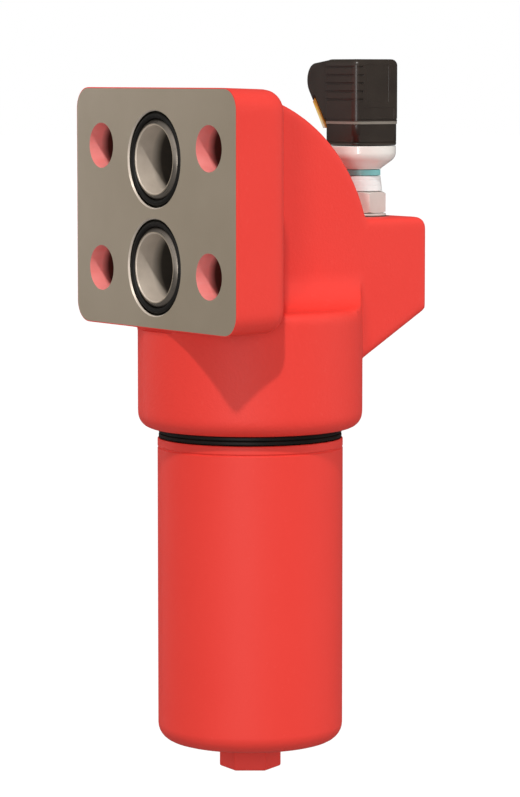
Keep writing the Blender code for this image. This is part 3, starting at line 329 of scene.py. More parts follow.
def turned_metal(name, dark, light, roughness, lines, along="Z", depth=0.008, metallic=1.0, shade_depths=None):
    """Metal with the rings a cutting tool leaves, this many to the millimetre along an axis. A deep bore is darkened
    from some depth on as painted shade.
    """
    finish = Finish(name, Metallic=metallic)
    run = finish.part(finish.place, along)
    waver = finish.noise(1.3, 2.0, 0.6)
    rings = (run * (2 * pi * lines) + waver * 2.5).sine() * 0.5 + 0.5
    stain = finish.noise(7.0, 3.0, 0.6)
    metal = finish.blend((stain * 1.3 - 0.15).clamped(), dark, light)
    if shade_depths:
        # Painted shade: the colour darkens towards the depth of a bore.
        metal = finish.blend(run.between(*shade_depths), metal, BORE_PAINTED_SHADE)
    finish.set(Base_Color=metal, Roughness=roughness + 0.12 * stain + 0.05 * rings)
    finish.bump(rings, depth * MM)
    return finish.material


face_metal = milled_face()
bore_shades = (0.60, 0.51, 0.42), (0.74, 0.64, 0.54)
# The bores' colour is darkened from some way in as painted shade.
bore_metal = turned_metal("bored_metal", *bore_shades, 0.36, 1.6, "Y", 0.010, 0.25, BORE_SHADE_DEPTHS)
lip_metal = turned_metal("lip_metal", (0.42, 0.36, 0.30), (0.54, 0.47, 0.40), 0.22, 2.0, "Y", 0.006)
# The O-ring grooves' finish is far darker than the other bare metal: a painted shade for the recess.
groove_metal_painted_shade = turned_metal("groove_metal_painted_shade", (0.10, 0.085, 0.065), (0.16, 0.14, 0.11), 0.40, 2.0, "Y", 0.006)
socket_metal = turned_metal("socket_metal", (0.36, 0.34, 0.31), (0.50, 0.48, 0.44), 0.26, 1.4)
steel = turned_metal("turned_steel_finish", (0.46, 0.44, 0.41), (0.60, 0.58, 0.55), 0.20, 2.2)
zinc = turned_metal("zinc_finish", (0.50, 0.49, 0.45), (0.66, 0.65, 0.60), 0.26, 1.0)
plating = turned_metal("hexagon_finish", (0.66, 0.59, 0.54), (0.74, 0.67, 0.62), 0.28, 2.4, metallic=0.2)
brass = turned_metal("brass_finish", (0.66, 0.46, 0.20), (0.80, 0.60, 0.30), 0.22, 2.0)
spring_steel = turned_metal("spring_finish", (0.30, 0.29, 0.28), (0.44, 0.43, 0.41), 0.26, 3.0)
print("metals:", face_metal.name, bore_metal.name, steel.name, plating.name)


# %% [markdown]
# ## Rubber and plastic
#
# Moulded rubber is nearly black with a dull bloom, and the plug's gasket is a grey-brown one. The connector is
# glass-filled plastic: dark brown-black, with a fine spark-eroded texture that spreads the light. The indicator's
# rings and cone are smooth glossy mouldings. One function makes them all, because they differ only in their two
# shades, their gloss and the size of their texture.

# %% Make the rubbers and plastics


def moulded(name, colour, shade, roughness, grain, depth, **sockets):
    """A moulding in two shades, its texture this wide and this deep in millimetres."""
    finish = Finish(name, **sockets)
    texture = finish.noise(grain, 3.0, 0.6)
    cloud = finish.noise(11.0, 2.0, 0.5)
    finish.set(
        Base_Color=finish.blend((cloud * 1.4 - 0.2).clamped(), shade, colour),
        Roughness=roughness + 0.12 * texture,
    )
    finish.bump(texture, depth * MM)
    return finish.material


rubber = moulded("seal_rubber", (0.014, 0.012, 0.010), (0.008, 0.007, 0.006), 0.46, 0.35, 0.008, Specular_IOR_Level=0.3)
grey_rubber = moulded("gasket_rubber", (0.23, 0.20, 0.17), (0.18, 0.16, 0.13), 0.70, 0.3, 0.01)
nylon = moulded("connector_nylon", (0.038, 0.029, 0.022), (0.027, 0.020, 0.016), 0.26, 0.22, 0.012)
pale = moulded("pale_moulding", (0.85, 0.80, 0.75), (0.80, 0.75, 0.70), 0.24, 0.8, 0.003, Coat_Weight=0.6)
white_ring = moulded("white_ring", (0.81, 0.80, 0.785), (0.77, 0.76, 0.745), 0.24, 0.6, 0.004)
teal = moulded("teal_ring", (0.26, 0.64, 0.63), (0.20, 0.56, 0.56), 0.26, 0.5, 0.004)
skived_plastic = moulded("skived_plastic", (0.78, 0.77, 0.73), (0.70, 0.69, 0.64), 0.40, 0.5, 0.01)
print("mouldings:", nylon.name, pale.name, teal.name)


# %% [markdown]
# ## From a sketch to a piece
#
# Every new piece ends in the same way: doubles merged, faces turned outwards, millimetres made metres, soft
# shading with real edges kept sharp, and the piece hung on its body. A Boolean does the cutting. It
# keeps the finish of each tool on the faces that the tool made, so a cut can look different from the skin.

# %% Finish a piece
MERGE = 0.0004
SHARP = radians(32)


def solid_of(name, bm, finish):
    """Makes a sketch in millimetres an object that can still be worked on."""
    bmesh.ops.remove_doubles(bm, verts=bm.verts, dist=MERGE)
    bmesh.ops.recalc_face_normals(bm, faces=bm.faces)
    bmesh.ops.scale(bm, vec=(MM, MM, MM), verts=bm.verts)
    mesh = bpy.data.meshes.new(name)
    bm.to_mesh(mesh)
    bm.free()
    mesh.materials.append(finish)
    mesh.shade_smooth()
    mesh.set_sharp_from_angle(angle=SHARP)
    obj = bpy.data.objects.new(name, mesh)
    bpy.context.scene.collection.objects.link(obj)
    return obj


def evaluated_mesh(obj):
    graph = bpy.context.evaluated_depsgraph_get()
    return bpy.data.meshes.new_from_object(obj.evaluated_get(graph))


def settled(obj):
    """Makes an object's modifiers part of its mesh."""
    mesh = evaluated_mesh(obj)
    obj.modifiers.clear()
    obj.data = mesh
    return obj


def parted(obj, sharp):
    """Sharp edges from this angle on, and wherever two finishes meet, so that a flat face stays flat in the light."""
    mesh = obj.data
    mesh.set_sharp_from_angle(angle=radians(sharp))
    finishes = {}
    for face in mesh.polygons:
        for key in face.edge_keys:
            finishes.setdefault(key, set()).add(face.material_index)
    for edge in mesh.edges:
        if len(finishes[edge.key]) > 1:
            edge.use_edge_sharp = True


def placed(obj, body, slot, *replaced):
    """Evens the light on a finished piece's flats, hangs it on its body and hides the CAD solids it stands for; its
    slot is not used.
    """
    even = obj.modifiers.new("even", "WEIGHTED_NORMAL")
    even.keep_sharp = True
    settled(obj)
    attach(obj, body)
    if replaced:
        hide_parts(*replaced)
    print(f"{obj.name}: {len(obj.data.polygons)} faces on {body}")
    return obj


def worked(obj, tool, operation="DIFFERENCE"):
    """Cuts a tool's shape out of an object, or joins it on. The cut faces take the tool's finish."""
    step = obj.modifiers.new("work", "BOOLEAN")
    step.operation = operation
    step.object = tool
    step.solver = "MANIFOLD"
    step.material_mode = "TRANSFER"
    settled(obj)
    bpy.data.objects.remove(tool)
    return obj


print("piece helpers ready")


# %% [markdown]
# ## Turned shapes
#
# Half of this filter comes off a lathe. Its shape is a profile of radius and height that is spun round an axis.
# A corner that is rounded on the real piece has a third number, and bevelling the profile's vertices before the
# spin rounds it there and nowhere else.

# %% Spin a profile


def turned(profile, centre=(0, 0), steps=128, ring=False, corner_steps=4):
    """A turned shape from points of radius, height and, where the corner is rounded, its rounding."""
    bm = bmesh.new()
    corners = [bm.verts.new((point[0], 0, point[1])) for point in profile]
    ends = corners[1:] + corners[:1] if ring else corners[1:]
    for first, second in zip(corners, ends):
        bm.edges.new((first, second))
    for corner, point in zip(corners, profile):
        if len(point) == 3:
            bmesh.ops.bevel(
                bm, geom=[corner], offset=point[2], segments=corner_steps, profile=0.5, affect="VERTICES", material=-1
            )
    bmesh.ops.spin(
        bm, geom=bm.verts[:] + bm.edges[:], axis=(0, 0, 1), cent=(0, 0, 0), angle=2 * pi, steps=steps, use_merge=True
    )
    bmesh.ops.translate(bm, vec=(*centre, 0), verts=bm.verts)
    return bm


def lying(bm, place):
    """Lays a shape that was turned round Z along -Y, its foot at a place."""
    bmesh.ops.rotate(bm, matrix=Matrix.Rotation(pi / 2, 3, "X"), cent=(0, 0, 0), verts=bm.verts)
    bmesh.ops.translate(bm, vec=place, verts=bm.verts)
    return bm


def added(bm, other):
    """Puts a second sketch into the first."""
    mesh = bpy.data.meshes.new("added")
    other.to_mesh(mesh)
    other.free()
    bm.from_mesh(mesh)
    bpy.data.meshes.remove(mesh)
    return bm


print("turning helpers ready")


# %% [markdown]
# ## The head casting
#
# The real head is one sand casting: a thick mounting block, a curved back that carries the boss of the
# indicator, and a round skirt for the bowl, all run together with soft corners. Bevelling every edge where these
# shapes meet would be fragile. Instead the plain shapes are drawn so that they pass into each other, a voxel
# remesh makes one skin of them, and a little smoothing rounds the inner corners just as the sand mould does.

# %% Draw the block, the back and the skirt
BLOCK_HALF_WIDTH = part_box("head_casting")[1].x / MM
BLOCK_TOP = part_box("head_casting")[1].z / MM
BLOCK_FOOT = -58.0
BLOCK_DEPTH = 32.5
BLOCK_CORNER = 11.0
BLOCK_FRONT_ROUND = 0.7
BLOCK_REAR_ROUND = 9.0
DRAFT = 0.035  # how much a side leans in for each millimetre behind the face
STOCK = 4.0  # metal in front of the mounting face, milled off later
GAP = 0.3  # left between the CAD solids that touch on the real filter
BACK_HALF_WIDTH = 27.0
BACK_ROUND = 4.0
ARC_START = 27.0
ARC_TOP = BLOCK_TOP - 1.7
ARC_CLEARANCE = 1.7
BOSS_TOP = foot("indicator_seal_ring") - GAP
BOSS_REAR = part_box("head_casting")[1].y / MM
BOSS_FOOT = -52.4
BOSS_CORNER = 5.5
GUSSET = radians(31)
SKIRT_RADIUS = 57.5
SKIRT_TOP = -49.0
SKIRT_TOP_ROUND = 5.0
SKIRT_FOOT = foot("head_casting")
SKIRT_FOOT_ROUND = 8.0
SHOULDER_FILLET = 18.0


def cuboid(size):
    """A block of this size round the origin."""
    bm = bmesh.new()
    bmesh.ops.create_cube(bm, size=1)
    bmesh.ops.scale(bm, vec=size, verts=bm.verts)
    return bm


def bevelled(bm, edges, offset, segments):
    bmesh.ops.bevel(bm, geom=edges, offset=offset, segments=segments, affect="EDGES", profile=0.5, material=-1)


def block_shape(stock=STOCK, grow=0.0, front_round=0.0):
    """The mounting block, its sides leaning in by the draft that lets the mould's pattern out."""
    height = BLOCK_TOP - BLOCK_FOOT
    bm = cuboid((2 * BLOCK_HALF_WIDTH + 2 * grow, BLOCK_DEPTH + stock, height + 2 * grow))
    bmesh.ops.translate(bm, vec=(0, (BLOCK_DEPTH - stock) / 2, 0), verts=bm.verts)
    deep = [e for e in bm.edges if abs((e.verts[0].co - e.verts[1].co).y) > BLOCK_DEPTH / 2]
    bevelled(bm, deep, BLOCK_CORNER, 10)
    rear = [e for e in bm.edges if all(v.co.y > BLOCK_DEPTH - 0.1 for v in e.verts)]
    bevelled(bm, rear, BLOCK_REAR_ROUND, 8)
    if front_round:
        front = [e for e in bm.edges if all(v.co.y < 0.1 - stock for v in e.verts)]
        bevelled(bm, front, front_round, 6)
    for vert in bm.verts:
        lean = DRAFT * max(vert.co.y, 0)
        vert.co.x -= copysign(lean, vert.co.x)
        vert.co.z -= copysign(lean, vert.co.z)
    bmesh.ops.translate(bm, vec=(0, 0, (BLOCK_TOP + BLOCK_FOOT) / 2), verts=bm.verts)
    return bm


def arc(centre, size, start, end, steps):
    angles = [radians(start + (end - start) * i / steps) for i in range(steps + 1)]
    return [(centre[0] + size * cos(a), centre[1] + size * sin(a)) for a in angles]


def slab(outline, thickness, rounding=0.0, segments=4):
    """An outline in Y and Z, given a thickness along X, with its rims rounded."""
    bm = bmesh.new()
    plate = bm.faces.new([bm.verts.new((-thickness / 2, y, z)) for y, z in outline])
    grown = bmesh.ops.extrude_face_region(bm, geom=[plate])["geom"]
    moved = [item for item in grown if isinstance(item, bmesh.types.BMVert)]
    bmesh.ops.translate(bm, vec=(thickness, 0, 0), verts=moved)
    bmesh.ops.recalc_face_normals(bm, faces=bm.faces)
    if rounding:
        rims = [e for e in bm.edges if abs((e.verts[0].co - e.verts[1].co).x) < 0.01]
        bevelled(bm, rims, rounding, segments)
    return bm


def back_shape():
    """The quarter arc from the block's top down to the boss, and the boss with its slanted underside."""
    run = INDICATOR_AXIS[1] - radius("indicator_seal_ring") - ARC_CLEARANCE - ARC_START
    fall = ARC_TOP - BOSS_TOP
    size = (run**2 + fall**2) / (2 * fall)
    centre = (ARC_START, ARC_TOP - size)
    front = BLOCK_DEPTH / 2
    start = 90 + asin((ARC_START - front) / size) * 180 / pi
    end = asin((BOSS_TOP - centre[1]) / size) * 180 / pi
    outline = arc(centre, size, start, end, 48)
    outline += arc((BOSS_REAR - BOSS_CORNER, BOSS_TOP - BOSS_CORNER), BOSS_CORNER, 90, 0, 6)
    inner = BOWL_AXIS[1] + sqrt(SKIRT_RADIUS**2 - BACK_HALF_WIDTH**2) - BACK_ROUND
    slope_foot = BOSS_FOOT - (BOSS_REAR - inner) * tan(GUSSET)
    outline += [(BOSS_REAR, BOSS_FOOT), (inner, slope_foot), (front, slope_foot)]
    return slab(outline, 2 * BACK_HALF_WIDTH, BACK_ROUND, 5)


def skirt_shape():
    profile = [
        (0, SKIRT_TOP),
        (SKIRT_RADIUS, SKIRT_TOP, SKIRT_TOP_ROUND),
        (SKIRT_RADIUS, SKIRT_FOOT, SKIRT_FOOT_ROUND),
        (0, SKIRT_FOOT),
    ]
    return turned(profile, BOWL_AXIS, 160, corner_steps=8)


def shoulder_shape():
    """The hollow blend from the sides of the back out to the skirt's edge."""
    side = BACK_HALF_WIDTH + SHOULDER_FILLET
    level = SKIRT_TOP + SHOULDER_FILLET
    right = arc((side, level), SHOULDER_FILLET, -90, -180, 12)
    outline = [*right, *[(-x, z) for x, z in reversed(right)], (-side, SKIRT_TOP - 5), (side, SKIRT_TOP - 5)]
    length = BOWL_AXIS[1] + SKIRT_RADIUS - BLOCK_DEPTH / 2
    bm = slab(outline, length)
    bmesh.ops.rotate(bm, matrix=Matrix.Rotation(pi / 2, 3, "Z"), cent=(0, 0, 0), verts=bm.verts)
    bmesh.ops.scale(bm, vec=(-1, 1, 1), verts=bm.verts)
    bmesh.ops.translate(bm, vec=(0, BLOCK_DEPTH / 2 + length / 2, 0), verts=bm.verts)
    blend = solid_of("blend", bm, cast_paint)
    inside = [(0, level), (SKIRT_RADIUS - 0.4, level), (SKIRT_RADIUS - 0.4, SKIRT_TOP - 6), (0, SKIRT_TOP - 6)]
    return worked(blend, solid_of("inside", turned(inside, BOWL_AXIS, 96), cast_paint), "INTERSECT")


raw = block_shape()
for shape in (back_shape(), skirt_shape()):
    added(raw, shape)
shoulder = shoulder_shape()
grown = bmesh.new()
grown.from_mesh(shoulder.data)
bmesh.ops.scale(grown, vec=(1 / MM, 1 / MM, 1 / MM), verts=grown.verts)
bpy.data.objects.remove(shoulder)
added(raw, grown)
head = solid_of("head_casting_skin", raw, cast_paint)
print("raw shapes:", len(head.data.polygons), "faces")


# %% [markdown]
# The voxels are a little over a millimetre, so the skin keeps every form and the smoothing reaches about two
# millimetres into each inner corner.

# %% Make one cast skin
SKIN_VOXEL = 1.15 * MM
SKIN_SMOOTHING = 10

skin = head.modifiers.new("skin", "REMESH")
skin.mode = "VOXEL"
skin.voxel_size = SKIN_VOXEL
skin.use_smooth_shade = True
soften = head.modifiers.new("soften", "SMOOTH")
soften.factor = 0.5
soften.iterations = SKIN_SMOOTHING
settled(head)
head.data.materials.clear()
head.data.materials.append(cast_paint)
print("cast skin:", len(head.data.polygons), "faces")


# %% [markdown]
# ## Machining the head
#
# Now the casting is cut as in the workshop. Each cutter carries the finish that its cut leaves, and the Boolean
# hands that finish to the faces it makes: the face mill leaves bare metal, the ports are bored bright, and the
# screw holes were drilled before painting, so they stay red.

# %% Cut the face, the ports and the screw holes
PORT_PITCH = 54.0
PORT_RADIUS = 17.0
OUTLET_RADIUS = 14.7
PORT_DEPTHS = {1: 58.0 + OUTLET_RADIUS, -1: 38.0}  # above the middle, and below it
GROOVE_INNER = 20.1
GROOVE_OUTER = 24.2
GROOVE_DEPTH = 3.6
LIP_CREST = 17.9
LIP_FALL = 1.9
BOLT_X = 50.0
BOLT_HEIGHTS = (33.25, -29.25)
BOLT_RADIUS = 11.5
SPOT_RADIUS = 16.5


def slab_cutter(low, high, finish):
    bm = cuboid(Vector(high) - Vector(low))
    bmesh.ops.translate(bm, vec=(Vector(low) + Vector(high)) / 2, verts=bm.verts)
    return solid_of("cutter", bm, finish)


def bored(profile, place, finish, steps=96, ring=False):
    """A cutter turned to a profile whose heights are counted outwards from the mounting face."""
    return solid_of("cutter", lying(turned(profile, steps=steps, ring=ring), place), finish)


worked(head, slab_cutter((-90, -20, -80), (90, 0, 90), face_metal))
edge_frame = slab_cutter((-90, -1, BLOCK_FOOT - 1.5), (90, BLOCK_FRONT_ROUND + 1.5, 90), cast_paint)
worked(edge_frame, solid_of("block", block_shape(0.0, 0.05, BLOCK_FRONT_ROUND), cast_paint))
worked(head, edge_frame)
for side, depth in PORT_DEPTHS.items():
    place = (0, 0, side * PORT_PITCH / 2)
    bore = [
        (0, 2),
        (PORT_RADIUS + 2.4, 2),
        (PORT_RADIUS + 0.4, 0),
        (PORT_RADIUS, -0.5),
        (PORT_RADIUS, -depth),
        (0, -depth),
    ]
    worked(head, bored(bore, place, bore_metal))
    slope = [
        (LIP_CREST, 1),
        (LIP_CREST, 0),
        (GROOVE_INNER - 0.9, -0.7),
        (GROOVE_INNER + 0.1, -LIP_FALL),
        (GROOVE_INNER + 0.1, 1),
    ]
    worked(head, bored(slope, place, lip_metal, ring=True))
    groove = [(GROOVE_INNER, 1), (GROOVE_OUTER, 1), (GROOVE_OUTER, -GROOVE_DEPTH), (GROOVE_INNER, -GROOVE_DEPTH)]
    worked(head, bored(groove, place, groove_metal_painted_shade, ring=True))
    rim = [(GROOVE_OUTER - 0.2, 1), (GROOVE_OUTER + 0.6, 1), (GROOVE_OUTER + 0.6, 0), (GROOVE_OUTER - 0.2, -1.2)]
    worked(head, bored(rim, place, bore_metal, ring=True))
for x in (-BOLT_X, BOLT_X):
    for height in BOLT_HEIGHTS:
        hole = [
            (0, 1),
            (BOLT_RADIUS, 1),
            (BOLT_RADIUS, -26.2),
            (SPOT_RADIUS, -26.5, 0.4),
            (SPOT_RADIUS, -30),
            (0, -30),
        ]
        worked(head, bored(hole, (x, 0, height), drilled_paint_sheen_and_shade, 72))
print("face, ports and holes cut:", len(head.data.polygons), "faces")


# %% [markdown]
# The bowl's socket, the chamber over it and the indicator's hole run along Z, so their cutters are turned and stay
# upright. Two more of them join the ports to the inside: the upper port leads to the middle of the element, and
# the lower one to the space round it.

# %% Bore the socket, the chamber and the oil ways
NECK_RADIUS = 45.0
NECK_TOP = top("bowl")
CHAMBER_RADIUS = 41.0
CHAMBER_TOP = -60.0
DROP_RADIUS = 10
DROP_AXIS = (0, 30)
STEM_HOLE = 10.3
STEM_FLOOR = foot("indicator_body") - 1.5
BOSS_SPOT = 15.2
socket = [
    (0, CHAMBER_TOP),
    (CHAMBER_RADIUS, CHAMBER_TOP, 1.5),
    (CHAMBER_RADIUS, NECK_TOP + GAP),
    (NECK_RADIUS + GAP, NECK_TOP + GAP),
    (NECK_RADIUS + GAP, SKIRT_FOOT + 1.0),
    (NECK_RADIUS + GAP + 3.0, SKIRT_FOOT - 2.0),
    (0, SKIRT_FOOT - 2.0),
]


def drill(axis, size, low, high, finish, steps=72):
    """A plain round cutter along Z."""
    profile = [(0, high), (size, high), (size, low), (0, low)]
    return solid_of("cutter", turned(profile, axis, steps), finish)


worked(head, solid_of("cutter", turned(socket, BOWL_AXIS, 160), socket_metal))
worked(head, drill(BOWL_AXIS, OUTLET_RADIUS, CHAMBER_TOP - 1, PORT_PITCH / 2, socket_metal))
worked(head, drill(DROP_AXIS, DROP_RADIUS, CHAMBER_TOP - 1, -PORT_PITCH / 2, socket_metal, 64))
worked(head, drill(INDICATOR_AXIS, STEM_HOLE, STEM_FLOOR, BOSS_TOP + 1, socket_metal))
worked(head, drill(INDICATOR_AXIS, BOSS_SPOT, BOSS_TOP - 0.05, BOSS_TOP + 2, socket_metal))
parted(head, 38)
placed(head, "head", "red_paint", "head_casting")


# %% [markdown]
# ## Seals in the mounting face
#
# Each port has an O-ring in its groove, round the lip of the bore. The groove's outer wall stays in view beside it.
# An O-ring is a circle spun round the port's axis.

# %% Lay the port seals


def cord_profile(inner, cord, middle, points=20):
    """A circle as thick as the cord, its nearest point this far from the axis."""
    size = cord / 2
    angles = [2 * pi * i / points for i in range(points)]
    return [(inner + size + size * cos(a), middle - size * sin(a)) for a in angles]


PORT_CORD = 2.9
for name, height in (("port_oring_upper", PORT_PITCH / 2), ("port_oring_lower", -PORT_PITCH / 2)):
    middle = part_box(name)[1].y / MM - PORT_CORD / 2
    ring = lying(turned(cord_profile(GROOVE_INNER + GAP, PORT_CORD, 0), steps=128, ring=True), (0, middle, height))
    placed(solid_of(name + "_fine", ring, rubber), "head", "black_rubber", name)


# %% [markdown]
# ## The bowl
#
# The bowl is turned from steel: a cup with a thick wall, a narrower neck that screws into the head, a fine line
# below its shoulder, and a hexagon under its floor for the spanner. It is one profile, inside and outside, spun
# once, with a bevelled six-sided stub joined on.

# %% Turn the bowl
BOWL_RADIUS = radius("bowl")
BOWL_SHOULDER = SKIRT_FOOT - 5.0
HEX_HEIGHT = 14.7
HEX_ACROSS = 27.5
HEX_TURN = radians(25.8)
BOWL_FLOOR = foot("bowl") + HEX_HEIGHT
BOWL_INNER = 38.0
BOWL_INSIDE = BOWL_FLOOR + 12.0
SEAL_TOP = NECK_TOP - 5.0
SEAL_FOOT = SEAL_TOP - 6.0
SEAL_FLOOR = 41.1
THREAD_TOP = SEAL_FOOT - 3.0
THREAD_FOOT = BOWL_SHOULDER + 4.0
THREAD_DEPTH = 1.3
LINE_DEPTH = 0.6  # the fine line below the shoulder
bowl_profile = [
    (0, BOWL_INSIDE),
    (BOWL_INNER, BOWL_INSIDE, 8.7),
    (BOWL_INNER, NECK_TOP, 0.8),
    (NECK_RADIUS, NECK_TOP, 1.2),
    (NECK_RADIUS, SEAL_TOP, 0.3),
    (SEAL_FLOOR, SEAL_TOP, 0.3),
    (SEAL_FLOOR, SEAL_FOOT, 0.3),
    (NECK_RADIUS, SEAL_FOOT, 0.3),
    (NECK_RADIUS, THREAD_TOP, 0.2),
    (NECK_RADIUS - THREAD_DEPTH, THREAD_TOP - THREAD_DEPTH),
    (NECK_RADIUS - THREAD_DEPTH, THREAD_FOOT + THREAD_DEPTH),
    (NECK_RADIUS - 0.6, THREAD_FOOT),
    (NECK_RADIUS - 0.6, BOWL_SHOULDER, 0.4),
    (BOWL_RADIUS, BOWL_SHOULDER, 0.7),
    (BOWL_RADIUS, BOWL_SHOULDER - 4.1, 0.15),
    (BOWL_RADIUS - LINE_DEPTH, BOWL_SHOULDER - 4.5, 0.1),
    (BOWL_RADIUS - LINE_DEPTH, BOWL_SHOULDER - 4.9, 0.1),
    (BOWL_RADIUS, BOWL_SHOULDER - 5.3, 0.15),
    (BOWL_RADIUS, BOWL_FLOOR, 9.0),
    (0, BOWL_FLOOR),
]


def hexagon_bar(across, low, high, turn, axis, rounding, foot_rounding=0.0):
    """An upright six-sided bar, this wide across its flats, with rounded corners."""
    bm = bmesh.new()
    size = across / sqrt(3)
    bmesh.ops.create_cone(bm, cap_ends=True, segments=6, radius1=size, radius2=size, depth=high - low)
    upright = [e for e in bm.edges if abs((e.verts[0].co - e.verts[1].co).z) > 1]
    bevelled(bm, upright, rounding, 3)
    if foot_rounding:
        rim = [e for e in bm.edges if all(v.co.z < 1 - (high - low) / 2 for v in e.verts)]
        bevelled(bm, rim, foot_rounding, 4)
    bmesh.ops.rotate(bm, matrix=Matrix.Rotation(turn, 3, "Z"), cent=(0, 0, 0), verts=bm.verts)
    bmesh.ops.translate(bm, vec=(*axis, (low + high) / 2), verts=bm.verts)
    return bm


bowl = solid_of("bowl_shell", turned(bowl_profile, BOWL_AXIS, 192, corner_steps=8), turned_paint)
stub = hexagon_bar(HEX_ACROSS, foot("bowl"), BOWL_FLOOR + 5.0, HEX_TURN, BOWL_AXIS, 0.5, 1.2)
worked(bowl, solid_of("stub", stub, turned_paint), "UNION")
bowl.data.set_sharp_from_angle(angle=radians(38))
print("bowl:", len(bowl.data.polygons), "faces")


# %% [markdown]
# The neck isn't painted: paint would foul the thread. Its faces are found by their place and given the steel
# finish. The thread itself is a ridge that climbs the neck, so its little triangle is spun with a rise in every
# step instead of a plain turn.

# %% Bare the neck and cut its thread
bowl.data.materials.append(steel)
for polygon in bowl.data.polygons:
    middle = polygon.center / MM
    away = sqrt(middle.x**2 + (middle.y - BOWL_AXIS[1]) ** 2)
    on_neck = middle.z > BOWL_SHOULDER - 0.2 and away < BOWL_RADIUS - 0.9
    inside = middle.z > BOWL_INSIDE - 1 and away < BOWL_INNER + 0.3
    if on_neck or inside:
        polygon.material_index = 1
placed(bowl, "bowl", "red_paint", "bowl")

THREAD_PITCH = 3.0
root = NECK_RADIUS - THREAD_DEPTH - 0.02
crest = NECK_RADIUS - 0.07
thread_turns = int((THREAD_TOP - THREAD_FOOT - 2 * THREAD_DEPTH - THREAD_PITCH) / THREAD_PITCH)
thread = bmesh.new()
start = THREAD_FOOT + THREAD_DEPTH + 0.2
half = THREAD_PITCH / 2
ridge = [(root, start), (crest, start + half * 0.86), (crest, start + half * 1.14), (root, start + 2 * half - 0.1)]
verts = [thread.verts.new((r, 0, z)) for r, z in ridge]
outline = thread.faces.new(verts)
per_turn = 72
bmesh.ops.spin(
    thread,
    geom=[outline, *outline.edges, *outline.verts],
    axis=(0, 0, 1),
    cent=(0, 0, 0),
    dvec=(0, 0, THREAD_PITCH / per_turn),
    angle=2 * pi * thread_turns,
    steps=per_turn * thread_turns,
)
open_ends = [edge for edge in thread.edges if edge.is_boundary]
bmesh.ops.holes_fill(thread, edges=open_ends, sides=4)
bmesh.ops.translate(thread, vec=(*BOWL_AXIS, 0), verts=thread.verts)
placed(solid_of("bowl_thread", thread, steel), "bowl", "turned_steel")


# %% [markdown]
# ## Seals of the bowl
#
# Between the head and the bowl's shoulder sits a soft black ring with two lips that keeps dirt and water out of
# the thread. Above the thread an O-ring with a white backup ring holds the pressure.

# %% Make the rings round the neck


def ring_piece(name, profile, axis, steps, finish, body, slot, node):
    """Turns a ring and puts it in the place of a CAD solid."""
    return placed(solid_of(name, turned(profile, axis, steps, ring=True), finish), body, slot, node)


ring_top = top("bowl_dust_ring")
ring_foot = foot("bowl_dust_ring")
ring_middle = (ring_top + ring_foot) / 2
ring_outer = radius("bowl_dust_ring")
dust_profile = [
    (NECK_RADIUS + GAP, ring_top),
    (ring_outer, ring_top, 0.7),
    (ring_outer, ring_middle + 0.35, 0.3),
    (ring_outer - 0.9, ring_middle, 0.2),
    (ring_outer, ring_middle - 0.35, 0.3),
    (ring_outer, ring_foot, 0.7),
    (NECK_RADIUS + GAP, ring_foot),
]
ring_piece("dust_ring_lips", dust_profile, BOWL_AXIS, 160, rubber, "bowl", "black_rubber", "bowl_dust_ring")
CORD = 3.6
seal_middle = (foot("bowl_oring") + top("bowl_oring")) / 2
seal_profile = cord_profile(SEAL_FLOOR + GAP, CORD, seal_middle)
ring_piece("neck_oring_fine", seal_profile, BOWL_AXIS, 160, rubber, "bowl", "black_rubber", "bowl_oring")
backup = [
    (SEAL_FLOOR + GAP, top("bowl_backup_ring")),
    (NECK_RADIUS, top("bowl_backup_ring"), 0.15),
    (NECK_RADIUS, foot("bowl_backup_ring"), 0.15),
    (SEAL_FLOOR + GAP, foot("bowl_backup_ring")),
]
ring_piece("backup_ring_fine", backup, BOWL_AXIS, 160, skived_plastic, "bowl", "white_plastic", "bowl_backup_ring")


# %% [markdown]
# ## The clogging indicator
#
# The indicator screws into the boss. From below it shows a plated washer, a hexagon, two plastic rings, a pale
# cone and then the square connector. The hexagon is a six-sided bar whose upper corners are turned away, so it is
# the meeting of a hexagonal prism and a turned cone.

# %% Make the hexagon and the stem
WASHER_FOOT, WASHER_TOP = foot("indicator_seal_ring"), top("indicator_seal_ring")
NUT_FOOT = WASHER_TOP + GAP
NUT_TOP = foot("indicator_white_band") - GAP
NUT_TURN = radians(14.7)
NUT_ACROSS = 22.5
STEM_TOP, STEM_FOOT = top("indicator_body"), foot("indicator_body")
HOLLOW_TOP = WASHER_FOOT + 4.6
nut_bar = hexagon_bar(NUT_ACROSS, NUT_FOOT, NUT_TOP, NUT_TURN, INDICATOR_AXIS, 0.35)
nut = solid_of("indicator_hexagon", nut_bar, plating)
corner = NUT_ACROSS / sqrt(3)
chamfer = [
    (0, NUT_TOP),
    (NUT_ACROSS / 2 - 0.4, NUT_TOP),
    (corner + 0.1, NUT_TOP - 1.1),
    (corner + 0.1, NUT_FOOT + 0.6),
    (NUT_ACROSS / 2 + 0.2, NUT_FOOT),
    (0, NUT_FOOT),
]
worked(nut, solid_of("chamfer", turned(chamfer, INDICATOR_AXIS, 96), plating), "INTERSECT")
stem = [
    (0, STEM_TOP),
    (8.0, STEM_TOP, 0.2),
    (8.0, NUT_TOP - 1),
    (10.0, NUT_TOP - 1),
    (10.0, STEM_FOOT, 1.0),
    (0, STEM_FOOT),
]
worked(nut, solid_of("stem", turned(stem, INDICATOR_AXIS, 96), plating), "UNION")
hollow = [
    (0, HOLLOW_TOP),
    (5.0, HOLLOW_TOP),
    (5.0, STEM_FOOT + 2.5),
    (3.0, STEM_FOOT + 2.5),
    (3.0, STEM_FOOT - 1),
    (0, STEM_FOOT - 1),
]
worked(nut, solid_of("hollow", turned(hollow, INDICATOR_AXIS, 64), plating))
nut.data.set_sharp_from_angle(angle=radians(30))
placed(nut, "head", "turned_steel", "indicator_body")


# %% [markdown]
# The washer, the two rings and the cone are plain turned parts. The white ring has two fine grooves round it, and
# the cone's upper edge has a wide rounding, where the photograph shows the lamp's window.

